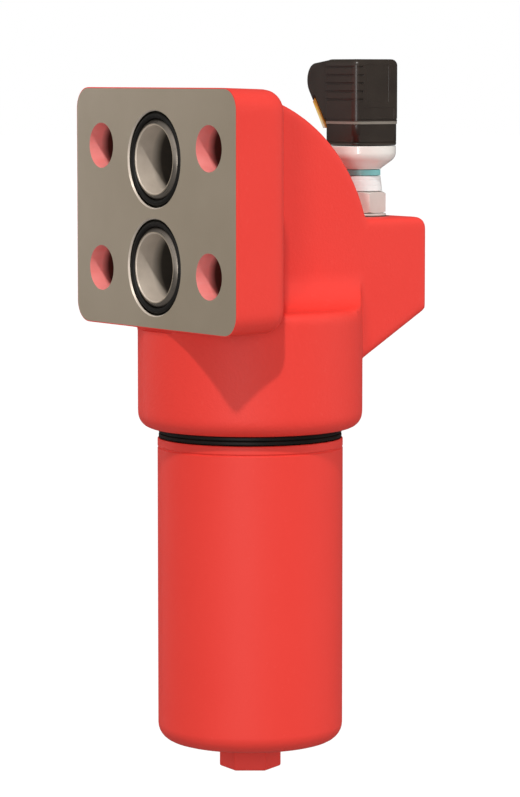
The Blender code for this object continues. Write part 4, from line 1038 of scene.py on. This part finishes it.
# %% Turn the washer, the rings and the cone
NECK_HOLE = 8.3
washer_outer = radius("indicator_seal_ring")
washer = [
    (STEM_HOLE, WASHER_TOP, 0.2),
    (washer_outer, WASHER_TOP, 0.6),
    (washer_outer, WASHER_FOOT, 0.3),
    (STEM_HOLE, WASHER_FOOT, 0.2),
]
ring_piece("washer_fine", washer, INDICATOR_AXIS, 96, plating, "head", "zinc_plate", "indicator_seal_ring")
white_foot, white_top = foot("indicator_white_band"), top("indicator_white_band")
white_profile = [
    (NECK_HOLE, white_top),
    (10.0, white_top, 0.25),
    (10.25, white_top - 1.9, 0.1),
    (10.1, white_top - 2.1, 0.1),
    (10.3, white_top - 2.3, 0.1),
    (10.6, white_top - 4.6, 0.1),
    (10.45, white_top - 4.8, 0.1),
    (10.65, white_top - 5.0, 0.1),
    (11.0, white_foot, 0.3),
    (NECK_HOLE, white_foot),
]
ring_piece(
    "white_band_fine", white_profile, INDICATOR_AXIS, 96, white_ring, "head", "pale_plastic", "indicator_white_band"
)
teal_profile = [
    (NECK_HOLE, top("indicator_teal_band")),
    (10.0, top("indicator_teal_band"), 0.3),
    (10.0, foot("indicator_teal_band"), 0.3),
    (NECK_HOLE, foot("indicator_teal_band")),
]
ring_piece("teal_band_fine", teal_profile, INDICATOR_AXIS, 96, teal, "head", "teal_plastic", "indicator_teal_band")
cone_foot, cone_top = foot("indicator_lens"), top("indicator_lens")
cone_profile = [
    (0, cone_top),
    (18.0, cone_top, 0.4),
    (18.0, cone_foot + 5.9, 2.6),
    (10.4, cone_foot + 0.4, 0.3),
    (10.4, cone_foot, 0.2),
    (NECK_HOLE, cone_foot),
    (NECK_HOLE, cone_foot + 2),
    (0, cone_foot + 2),
]
cone = solid_of("indicator_cone", turned(cone_profile, INDICATOR_AXIS, 128), pale)
placed(cone, "head", "pale_plastic", "indicator_lens")


# %% [markdown]
# ## The connector
#
# The square socket and the plug are black mouldings with rounded corners, and a thin soft gasket lies between
# them. All three are blocks with bevelled edges. Slots for the contact pins and a hole for the centre screw are
# cut into them, and a shallow line runs round the socket and the plug.

# %% Mould the socket and the gasket
CX, CY = INDICATOR_AXIS
SCREW_HOLE = 1.8
PIN_SLOTS = (((0, -9.0), (6.9, 1.4)), ((0, 9.0), (6.9, 1.4)), ((9.0, 0), (1.4, 6.9)))  # centres and sizes
SOCKET_FOOT, SOCKET_TOP = foot("indicator_socket"), top("indicator_socket")
SLOT_DEPTH = 2.3
SCREW_WELL = 7.3


def moulding(half, low, high, corner, top_round=0.0, foot_round=0.0, segments=8):
    """A square block with rounded upright corners, centred on the indicator's axis."""
    bm = cuboid((2 * half, 2 * half, high - low))
    middle = (high - low) / 2
    edges = [e for e in bm.edges if abs((e.verts[0].co - e.verts[1].co).z) > middle]
    bevelled(bm, edges, corner, segments)
    for side, rounding in ((1, top_round), (-1, foot_round)):
        if rounding:
            rim = [e for e in bm.edges if all(side * v.co.z > middle - 0.01 for v in e.verts)]
            bevelled(bm, rim, rounding, 5)
    bmesh.ops.translate(bm, vec=(CX, CY, (high + low) / 2), verts=bm.verts)
    return bm


def bar(centre, size, rounding=0.0):
    """A block whose place is counted from the indicator's axis, and in height from the frame's origin."""
    bm = cuboid(size)
    if rounding:
        bevelled(bm, bm.edges[:], rounding, 3)
    bmesh.ops.translate(bm, vec=(CX + centre[0], CY + centre[1], centre[2]), verts=bm.verts)
    return bm


def slotted(obj, middle, height, finish):
    """Cuts the slots for the contact pins, this high and round this middle."""
    for (x, y), (width, depth) in PIN_SLOTS:
        worked(obj, solid_of("slot", bar((x, y, middle), (width, depth, height)), finish))


def ring_cut(obj, half, low, high, depth):
    """Cuts a shallow line all round a square moulding."""
    line = solid_of("line", moulding(half + 1, low, high, 3.8), nylon)
    worked(line, solid_of("core", moulding(half - depth, low - 1, high + 1, 3.4), nylon))
    return worked(obj, line)


socket_half = radius("indicator_socket")
connector_block = moulding(socket_half, SOCKET_FOOT, SOCKET_TOP, 3.6, 0.3, 0.9)
connector = solid_of("indicator_socket_fine", connector_block, nylon)
ring_cut(connector, socket_half, SOCKET_FOOT + 1.5, SOCKET_FOOT + 1.8, 0.2)
slotted(connector, SOCKET_TOP + 15 - SLOT_DEPTH, 30, nylon)
worked(connector, drill(INDICATOR_AXIS, SCREW_HOLE, SOCKET_TOP - SCREW_WELL, SOCKET_TOP + 1, nylon, 40))
placed(connector, "head", "black_nylon", "indicator_socket")
gasket_half = radius("plug_gasket") - 0.2
gasket_foot, gasket_top = foot("plug_gasket"), top("plug_gasket")
squeezed = moulding(gasket_half, gasket_foot - GAP, gasket_top + GAP, 3.6)
gasket = solid_of("plug_gasket_fine", squeezed, grey_rubber)
slotted(gasket, gasket_foot, 5, grey_rubber)
worked(gasket, drill(INDICATOR_AXIS, SCREW_HOLE, gasket_foot - 1, gasket_top + 1, grey_rubber, 40))
placed(gasket, "head", "grey_rubber", "plug_gasket")


# %% [markdown]
# The plug is a larger block with a hood for the cable on its far side. The hood's outline is drawn from the side:
# a round nose, a straight lower edge that runs down to the plug's foot, and a step in that edge where the amber
# strip lies. A slab of this outline gets wider towards the plug.

# %% Mould the plug's body and its hood
PLUG_FOOT = gasket_top + GAP
PLUG_TOP = top("plug_housing")
PLUG_HALF = 14.3
HOOD_REACH = 34.7
HOOD_ROOT = 10.7
HOOD_FOOT = 18.9
HOOD_HALF_WIDTH = 10.75
HOOD_ROOT_HALF_WIDTH = 14.2
NOSE_RADIUS = 9.0
NOSE_DROP = 10.8
NOSE_START = 98  # degrees
STRIP_LENGTH = 13.4
STRIP_TAB = 3.6
STRIP_THICKNESS = 3.0
STRIP_HALF_WIDTH = 10.4
slope_foot = Vector((-HOOD_FOOT, PLUG_FOOT))
nose = Vector((NOSE_RADIUS - HOOD_REACH, PLUG_TOP - NOSE_DROP))
across = nose - slope_foot
along = Matrix.Rotation(asin(NOSE_RADIUS / across.length), 2) @ across.normalized()
outward = Vector((-along.y, along.x))


def hood_slab(outline, half_width, rounding):
    """An outline in X and Z beside the plug, given its width along Y, which grows towards the plug."""
    bm = slab([(-x, z) for x, z in outline], 2 * half_width, rounding, 4)
    bmesh.ops.rotate(bm, matrix=Matrix.Rotation(pi / 2, 3, "Z"), cent=(0, 0, 0), verts=bm.verts)
    for vert in bm.verts:
        nearness = min(max((vert.co.x + HOOD_REACH) / (HOOD_REACH - HOOD_ROOT), 0), 1)
        vert.co.y *= 1 + nearness * (HOOD_ROOT_HALF_WIDTH / half_width - 1)
    bmesh.ops.translate(bm, vec=(CX, CY, 0), verts=bm.verts)
    return bm


turn = Vector((1, 0)).angle(outward)
tip = arc(nose, NOSE_RADIUS, NOSE_START, 360 - turn * 180 / pi, 14)
step = slope_foot + along * (STRIP_LENGTH + GAP)
inner_step = step - outward * (STRIP_THICKNESS + GAP)
inner_foot = inner_step - along * (inner_step.y - PLUG_FOOT - GAP) / along.y
hood_outline = [
    (-HOOD_ROOT, PLUG_TOP - GAP),
    *tip,
    tuple(step),
    tuple(inner_step),
    tuple(inner_foot),
    (-HOOD_ROOT, PLUG_FOOT + GAP),
]
body = moulding(PLUG_HALF, PLUG_FOOT, PLUG_TOP, 3.6, top_round=3.2, foot_round=0.3, segments=10)
plug = solid_of("plug_body", body, nylon)
hood = hood_slab(hood_outline, HOOD_HALF_WIDTH, 1.6)
worked(plug, solid_of("hood", hood, nylon), "UNION")
print("plug body:", len(plug.data.polygons), "faces")


# %% [markdown]
# The plug has finger grooves on two sides that run round its front corner, and two plain recessed panels on its
# outer face. Thin bars with rounded edges cut them. The pins, the screw and the cable need their ways through it.

# %% Cut the plug's grooves, panels and holes
GRIP_COUNT = 5
GRIP_PITCH = 4.2
GRIP_TOP = PLUG_TOP - 4.0
GROOVE_SIZE = (2.0, 1.2)
GROOVE_REACH = 0.4
PANEL_REACH = 0.82
CUT_ROUND = 0.35
SCREW_UNDER = PLUG_TOP - 3.0
SCREW_HEAD_HOLE = 3.7
CABLE_RADIUS = 5.0
CABLE_REACH = 26
across_plug, high = GROOVE_SIZE
for i in range(GRIP_COUNT):
    height = GRIP_TOP - GRIP_PITCH * i
    for side in (-1, 1):
        groove = bar((0, side * (PLUG_HALF + GROOVE_REACH), height), (2 * PLUG_HALF + 3, across_plug, high), CUT_ROUND)
        worked(plug, solid_of("groove", groove, nylon))
    wrap = bar((PLUG_HALF + GROOVE_REACH, -PLUG_HALF, height), (across_plug, 11.0, high), CUT_ROUND)
    worked(plug, solid_of("wrap", wrap, nylon))
for below_top, width, height in ((12.5, 13.5, 19.5), (27.5, 20.6, 5.5)):
    panel = bar((PLUG_HALF + PANEL_REACH, 0.3, PLUG_TOP - below_top), (2.0, width, height), CUT_ROUND)
    worked(plug, solid_of("panel", panel, nylon))
ring_cut(plug, PLUG_HALF, PLUG_FOOT + 0.9, PLUG_FOOT + 1.3, 0.3)
slotted(plug, PLUG_FOOT, 24, nylon)
worked(plug, drill(INDICATOR_AXIS, SCREW_HEAD_HOLE, SCREW_UNDER - GAP, PLUG_TOP + 1, nylon, 40))
worked(plug, drill(INDICATOR_AXIS, SCREW_HOLE, PLUG_FOOT - 1, PLUG_TOP - 2, nylon, 40))
gland_low, gland_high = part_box("gland_nut")
gland_length = (gland_high.x - gland_low.x) / MM
gland_centre = (gland_low.z + gland_high.z) / 2 / MM
gland_radius = (gland_high.z - gland_low.z) / 2 / MM
cable_way = turned([(0, CABLE_REACH), (CABLE_RADIUS, CABLE_REACH), (CABLE_RADIUS, 0), (0, 0)], steps=48)
bmesh.ops.rotate(cable_way, matrix=Matrix.Rotation(pi / 2, 3, "Y"), cent=(0, 0, 0), verts=cable_way.verts)
bmesh.ops.translate(cable_way, vec=(CX - HOOD_REACH - 1, CY, gland_centre), verts=cable_way.verts)
worked(plug, solid_of("cable_way", cable_way, nylon))
plug.data.set_sharp_from_angle(angle=SHARP)
placed(plug, "head", "black_nylon", "plug_housing")


# %% [markdown]
# ## The amber strip
#
# The strip under the hood is amber plastic: orange where it is thick and shaded, yellow at its outer edge and pale
# at its foot. A colour ramp along its height gives that, and it turns brown with the depth behind the outer side.
# Light that passes through plastic is slow to render and can't be baked, so the colours stand in for it.

# %% Make the amber strip
AMBER_SPAN = 15.0
AMBER_STOPS = [
    (0.0, (0.78, 0.80, 0.60)),
    (0.30, (0.93, 0.86, 0.36)),
    (0.70, (0.94, 0.68, 0.10)),
    (1.0, (0.60, 0.24, 0.02)),
]
AMBER_DEEP = (0.40, 0.15, 0.02)


def amber_finish():
    finish = Finish("amber_moulding", Roughness=0.12, Coat_Weight=0.5)
    height = finish.part(finish.place, "Z")
    rise = height.between(PLUG_FOOT - STRIP_TAB, PLUG_FOOT - STRIP_TAB + AMBER_SPAN)
    ramp = finish.add("ShaderNodeValToRGB", {"stops": AMBER_STOPS}, {0: rise}, "Color")
    sideways = finish.part(finish.place, "X") - (CX + slope_foot.x)
    depth = (sideways * outward.x + (height - slope_foot.y) * outward.y) * (-1 / STRIP_THICKNESS)
    finish.set(Base_Color=finish.blend((depth * 2.2 - 1.05).clamped(), ramp, AMBER_DEEP))
    finish.bump(finish.noise(2.0, 1.0), 0.01 * MM)
    return finish.material


amber = amber_finish()
strip_far = slope_foot + along * STRIP_LENGTH
strip_low = slope_foot - along * STRIP_TAB / along.y
strip_inner = strip_low - outward * STRIP_THICKNESS
strip_inner -= along * (strip_inner.y - strip_low.y) / along.y
strip_outline = [tuple(v) for v in (strip_low, strip_far, strip_far - outward * STRIP_THICKNESS, strip_inner)]
strip = hood_slab(strip_outline, STRIP_HALF_WIDTH, 0.3)
placed(solid_of("amber_strip_fine", strip, amber), "head", "amber_plastic", "plug_amber_strip")


# %% [markdown]
# ## The centre screw and the cable gland
#
# One screw holds the plug on its socket. The gland nut at the hood's end squeezes a rubber seal round a cable. It
# is turned, and its ribs are every other pair of the faces round it, pushed out a little.

# %% Turn the screw and the gland
SCREW_HEAD = 3.4
SCREW_SHANK = 1.5
RIBS = 24
STEPS_PER_RIB = 4
screw_top, screw_foot = top("plug_screw"), foot("plug_screw")
screw_profile = [
    (0, screw_top),
    (SCREW_HEAD, screw_top, 0.5),
    (SCREW_HEAD, SCREW_UNDER, 0.1),
    (SCREW_SHANK, SCREW_UNDER),
    (SCREW_SHANK, screw_foot, 0.4),
    (0, screw_foot),
]
screw = solid_of("plug_screw_fine", turned(screw_profile, INDICATOR_AXIS, 48), steel)
worked(screw, solid_of("slot", bar((0, 0, screw_top), (0.8, 12, 2.0)), steel))
placed(screw, "head", "turned_steel", "plug_screw")


def facing_out(bm):
    """Lays a shape that was turned round Z along -X, against the hood's end."""
    bmesh.ops.rotate(bm, matrix=Matrix.Rotation(-pi / 2, 3, "Y"), cent=(0, 0, 0), verts=bm.verts)
    bmesh.ops.translate(bm, vec=(CX - HOOD_REACH - GAP, CY, gland_centre), verts=bm.verts)
    return bm


nut_profile = [
    (3.8, gland_length, 0.3),
    (gland_radius - 0.3, gland_length, 0.7),
    (gland_radius - 0.3, 0, 0.3),
    (5.3, 0),
    (5.3, gland_length - 1.5),
    (3.8, gland_length - 1.5),
]
gland = turned(nut_profile, steps=RIBS * STEPS_PER_RIB, ring=True)
ribs = []
for face in gland.faces:
    middle = face.calc_center_median()
    step_round = atan2(middle.y, middle.x) / (2 * pi) * RIBS * STEPS_PER_RIB % STEPS_PER_RIB
    if middle.xy.length > gland_radius - 0.5 and abs(face.normal.z) < 0.1 and step_round < STEPS_PER_RIB / 2:
        ribs.append(face)
bmesh.ops.inset_region(gland, faces=ribs, thickness=0.12, depth=0.28, use_even_offset=True)
placed(solid_of("gland_nut_fine", facing_out(gland), nylon), "head", "black_nylon", "gland_nut")
gland_seal_profile = [
    (3.5, gland_length - 1.8, 0.4),
    (5.0, gland_length - 1.8, 0.2),
    (5.0, 0, 0.2),
    (3.5, 0, 0.4),
]
gland_seal = facing_out(turned(gland_seal_profile, steps=64, ring=True))
placed(solid_of("gland_seal_fine", gland_seal, rubber), "head", "black_rubber", "gland_seal")


# %% [markdown]
# ## The element
#
# With the bowl off, the element hangs from the head's spigot. Its two caps are pressed sheet, and the medium is
# one sheet folded to and fro. The folds are a star outline: the outer tips and inner valleys are rounded, and an
# extrusion along the axis makes the pack.

# %% Make the caps and the pleats


def pleat_finish():
    finish = Finish("pleated_medium", Roughness=0.85)
    weave_place = finish.moved(centre=(*BOWL_AXIS, 0))
    across_threads = (finish.part(weave_place, "Z") * 9.0).sine()
    fibre = finish.noise(0.45, 4.0, 0.7)
    cloud = finish.noise(16.0, 2.0)
    finish.set(Base_Color=finish.blend((cloud + 0.2 * fibre).clamped(), (0.62, 0.57, 0.46), (0.84, 0.80, 0.70)))
    finish.bump(across_threads * 0.2 + fibre, 0.06 * MM)
    return finish.material


medium = pleat_finish()
ELEMENT_RADIUS = radius("element_top_cap")
COLLAR_INNER = 14.3
COLLAR_OUTER = 16.3
CAP_SKIRT = 8.0
CAP_PLATE = 2.5
CAP_SHEET = 1.0
cap_top, cap_foot = top("element_top_cap"), foot("element_top_cap")
top_cap = [
    (COLLAR_INNER, cap_top, 0.5),
    (ELEMENT_RADIUS, cap_top, 1.2),
    (ELEMENT_RADIUS, cap_top - CAP_SKIRT),
    (ELEMENT_RADIUS - CAP_SHEET, cap_top - CAP_SKIRT),
    (ELEMENT_RADIUS - CAP_SHEET, cap_top - CAP_PLATE),
    (COLLAR_OUTER, cap_top - CAP_PLATE, 0.5),
    (COLLAR_OUTER, cap_foot),
    (COLLAR_INNER, cap_foot),
]
ring_piece("top_cap_fine", top_cap, BOWL_AXIS, 128, zinc, "head", "zinc_plate", "element_top_cap")
low_foot, low_top = foot("element_bottom_cap"), top("element_bottom_cap")
bottom_cap = [
    (COLLAR_INNER, low_foot + CAP_PLATE, 0.3),
    (COLLAR_INNER, low_top),
    (COLLAR_OUTER, low_top),
    (COLLAR_OUTER, low_foot + CAP_PLATE, 0.3),
    (ELEMENT_RADIUS - CAP_SHEET, low_foot + CAP_PLATE),
    (ELEMENT_RADIUS - CAP_SHEET, low_foot + CAP_SKIRT),
    (ELEMENT_RADIUS, low_foot + CAP_SKIRT),
    (ELEMENT_RADIUS, low_foot, 1.2),
    (8.0, low_foot, 0.5),
    (8.0, low_foot + CAP_PLATE),
]
ring_piece("bottom_cap_fine", bottom_cap, BOWL_AXIS, 128, zinc, "head", "zinc_plate", "element_bottom_cap")

PLEATS = 72
FOLD = 0.9  # how thick the folded sheet is
tip_radius = ELEMENT_RADIUS - 1.3
valley_radius = 18.3
pack_low, pack_high = foot("element_pleat_pack"), top("element_pleat_pack")
pack = bmesh.new()
half_pitch = pi / PLEATS


def on_circle(size, angle):
    return (size * cos(angle), size * sin(angle), pack_low)


outer_line, inner_line = [], []
for i in range(PLEATS):
    middle = 2 * half_pitch * i
    for spread, size in ((-0.30, 0.0), (-0.12, -0.35), (0.12, -0.35), (0.30, 0.0)):
        outer_line.append(on_circle(tip_radius + size, middle + spread * half_pitch))
    outer_line.append(on_circle(valley_radius + FOLD * 2, middle + half_pitch))
    inner_line.append(on_circle(tip_radius - FOLD * 2, middle))
    for spread in (-0.3, 0.3):
        inner_line.append(on_circle(valley_radius, middle + half_pitch + spread * half_pitch))
loops = []
for line in (outer_line, inner_line):
    verts = [pack.verts.new(point) for point in line]
    loops.append([pack.edges.new(pair) for pair in zip(verts, verts[1:] + verts[:1])])
bmesh.ops.triangle_fill(pack, use_beauty=True, use_dissolve=False, edges=loops[0] + loops[1])
for face in [f for f in pack.faces if f.calc_center_median().xy.length < valley_radius - 1]:
    pack.faces.remove(face)
grown = bmesh.ops.extrude_face_region(pack, geom=pack.faces[:])["geom"]
risen = [item for item in grown if isinstance(item, bmesh.types.BMVert)]
bmesh.ops.translate(pack, vec=(0, 0, pack_high - pack_low), verts=risen)
bmesh.ops.translate(pack, vec=(*BOWL_AXIS, 0), verts=pack.verts)
placed(solid_of("pleats_fine", pack, medium), "head", "filter_medium", "element_pleat_pack")


# %% [markdown]
# ## Coil springs
#
# A coil spring is a wire bent round a helix. Its first and last turns lie flat, one wire above the next, and the
# turns between share the rest of the length.

# %% Wind the springs


def wire_height(turn, turns, wire, rise):
    """How high the wire is after so many turns: flat at both ends, and an even climb between."""
    if turn < 1:
        return turn * wire
    climb = wire + (turn - 1) * (rise - 2 * wire) / (turns - 2)
    return min(climb, rise - (turns - turn) * wire) if turn > turns - 1 else climb


def coil(node, wire, turns):
    """A coil that fills the box of a CAD spring."""
    low, high = (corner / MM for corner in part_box(node))
    centre = (low + high) / 2
    size = (high.x - low.x - wire) / 2
    rise = high.z - low.z - wire
    curve = bpy.data.curves.new("wire", "CURVE")
    curve.dimensions = "3D"
    curve.bevel_depth = wire / 2
    curve.bevel_resolution = 3
    curve.use_fill_caps = True
    line = curve.splines.new("POLY")
    count = turns * 32
    line.points.add(count)
    for i, point in enumerate(line.points):
        turn = turns * i / count
        angle = 2 * pi * turn
        height = low.z + wire / 2 + wire_height(turn, turns, wire, rise)
        point.co = (centre.x + size * cos(angle), centre.y + size * sin(angle), height, 1)
    winding = bpy.data.objects.new("wire", curve)
    bpy.context.scene.collection.objects.link(winding)
    bm = bmesh.new()
    bm.from_mesh(evaluated_mesh(winding))
    bpy.data.objects.remove(winding)
    return bm


def spring_piece(name, node, wire, turns):
    """Winds a spring that fills the box of a CAD spring."""
    spring = placed(solid_of(name, coil(node, wire, turns), spring_steel), "head", "turned_steel", node)
    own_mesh(spring)


spring_piece("valve_spring_fine", "bypass_spring", wire=1.6, turns=5)
spring_piece("piston_spring_fine", "indicator_spring", wire=0.9, turns=5)


# %% [markdown]
# ## Solids that stay
#
# The spigot with its O-ring, the core tube, the bypass poppet and its retainer, the indicator's piston and the
# contact pins are true in shape and mostly hidden, so the CAD solids stay and only take a finish.

# %% Dress the CAD solids that stay
KEPT = {
    "element_spigot": steel,
    "spigot_oring": rubber,
    "element_core_tube": zinc,
    "bypass_poppet": steel,
    "bypass_retainer": zinc,
    "indicator_piston": steel,
    "contact_pin_left": brass,
    "contact_pin_right": brass,
    "contact_pin_earth": brass,
}
for name, finish in KEPT.items():
    node = frame["nodes"][name]
    node.data.materials.clear()
    node.data.materials.append(finish)
print("kept solids:", len(KEPT))


# %% [markdown]
# ## The studio
#
# The photograph is a cut-out on white. The world is a white room that differs for three kinds of rays: the camera
# sees plain white, a reflection sees a room that is dark but for its front, and all other light comes evenly from
# every side but the front, where it is held back to leave the shadows there some depth. The floor is far enough
# below for the bowl to come down. It is nearly white to the camera, and dark in a reflection.

# %% Build the studio
WORLD_LEVEL = 0.77
FRONT_SHADE = 0.50
REFLECTED_BACK = 0.06
REFLECTED_FRONT = 0.50
WHITE = (1, 1, 1, 1)
FLOOR_DROP = 215
FLOOR_RADIUS = 30000
FLOOR_DARK = (0.34, 0.34, 0.34)
FLOOR_LIGHT = (0.38, 0.38, 0.38)
FLOOR_GLOW = 1.2
FLOOR_SHARE = 0.8


def direction(azimuth, elevation):
    """From the object towards a lamp. Azimuth 0 is in front of the mounting face, 90 on its right."""
    a, e = radians(azimuth), radians(elevation)
    return Vector((sin(a) * cos(e), -cos(a) * cos(e), sin(e)))


world = bpy.data.worlds.new("studio")
bpy.context.scene.world = world
world.use_nodes = True
room = world.node_tree
background = room.nodes["Background"]
view = add_node(room, "ShaderNodeTexCoord", output="Generated")
sides = {0: view, 1: direction(10, 0)}
facing = add_node(room, "ShaderNodeVectorMath", {"operation": "DOT_PRODUCT"}, sides, "Value").clamped()
seen = add_node(room, "ShaderNodeLightPath", output="Is Camera Ray")
glossy = add_node(room, "ShaderNodeLightPath", output="Is Glossy Ray")
reflected = facing * (REFLECTED_FRONT - REFLECTED_BACK) + REFLECTED_BACK
ambient = (1.0 - facing * FRONT_SHADE) * WORLD_LEVEL
strength = seen + (1.0 - seen) * (glossy * reflected + (1.0 - glossy) * ambient)
background.inputs["Color"].default_value = WHITE
room.links.new(strength.socket, background.inputs["Strength"])

floor_height = foot("bowl") - FLOOR_DROP
disc = bmesh.new()
bmesh.ops.create_circle(disc, cap_ends=True, segments=64, radius=FLOOR_RADIUS)
bmesh.ops.translate(disc, vec=(0, 0, floor_height), verts=disc.verts)
floor_finish = Finish("studio_floor", Roughness=0.9)
floor_finish.set(Base_Color=floor_finish.blend(floor_finish.noise(400.0, 1.0), FLOOR_DARK, FLOOR_LIGHT))
shown = Wire(floor_finish.tree, floor_finish.shader.outputs[0])
for ray, glow in (("Is Camera Ray", FLOOR_GLOW), ("Is Glossy Ray", REFLECTED_BACK)):
    share = floor_finish.add("ShaderNodeLightPath", output=ray) * FLOOR_SHARE
    light = floor_finish.add("ShaderNodeEmission", None, {"Color": WHITE, "Strength": glow})
    shown = floor_finish.add("ShaderNodeMixShader", None, {0: share, 1: shown, 2: light})
floor_finish.tree.links.new(shown.socket, floor_finish.tree.nodes["Material Output"].inputs["Surface"])
solid_of("studio_floor", disc, floor_finish.material)
print("floor at", round(floor_height), "mm")


# %% [markdown]
# ## The lamps
#
# One hard lamp from the front right and above makes the block's sharp shadow on the skirt. A narrow soft box near
# the camera lights the sides that face it and shows as a window in the glossy cone. Two large soft boxes brighten
# the far left and the far right of the round parts. They are kept out of reflections, because their shine on the
# paint would wash its red out.

# %% Hang the lamps
MIDDLE = Vector((0, 0.06, -0.1))
KEY_LEVEL = 1.72
FRONT_POWER = 3.0
LEFT_POWER = 5.5
RIGHT_POWER = 3.4
SIDE_BOX = (0.70, 0.90)


def aimed(obj, place, target):
    obj.location = place
    obj.rotation_mode = "QUATERNION"
    obj.rotation_quaternion = (target - place).to_track_quat("-Z", "Y")
    bpy.context.scene.collection.objects.link(obj)


def soft_box(name, place, size, power, mirrored=True):
    lamp = bpy.data.lights.new(name, "AREA")
    lamp.shape = "RECTANGLE"
    lamp.size, lamp.size_y = size
    lamp.energy = power
    box = bpy.data.objects.new(name, lamp)
    box.visible_glossy = mirrored
    aimed(box, MIDDLE + place, MIDDLE)


sun = bpy.data.lights.new("key", "SUN")
sun.energy = KEY_LEVEL
sun.angle = radians(2.5)
sun.color = (1.0, 0.985, 0.96)
aimed(bpy.data.objects.new("key", sun), MIDDLE + direction(53, 51.5), MIDDLE)
soft_box("front_box", direction(46, 3) * 1.2, (0.18, 0.50), FRONT_POWER)
soft_box("left_box", direction(-75, 8) * 1.2, SIDE_BOX, LEFT_POWER, mirrored=False)
soft_box("right_box", direction(152, 10) * 1.1, SIDE_BOX, RIGHT_POWER, mirrored=False)
print("lamps: key and three soft boxes")


# %% [markdown]
# ## The camera
#
# Its place and its lens were fitted to the photograph's outlines: a long lens, a little above the middle of the
# filter and to the right of the mounting face.

# %% Set up the camera
LENS = 150.72
CAMERA_DISTANCE = 1.7096
TARGET = Vector((0.0028, 0.0622, -0.0960))
camera_data = bpy.data.cameras.new("camera")
camera_data.lens = LENS
camera_data.sensor_width = 36.0
camera_data.clip_end = 100
camera = bpy.data.objects.new("camera", camera_data)
aimed(camera, TARGET + direction(55.83, 5.54) * CAMERA_DISTANCE, TARGET)
bpy.context.scene.camera = camera
bpy.context.scene.view_settings.view_transform = "Standard"
print("camera at", [round(v, 3) for v in camera.location])
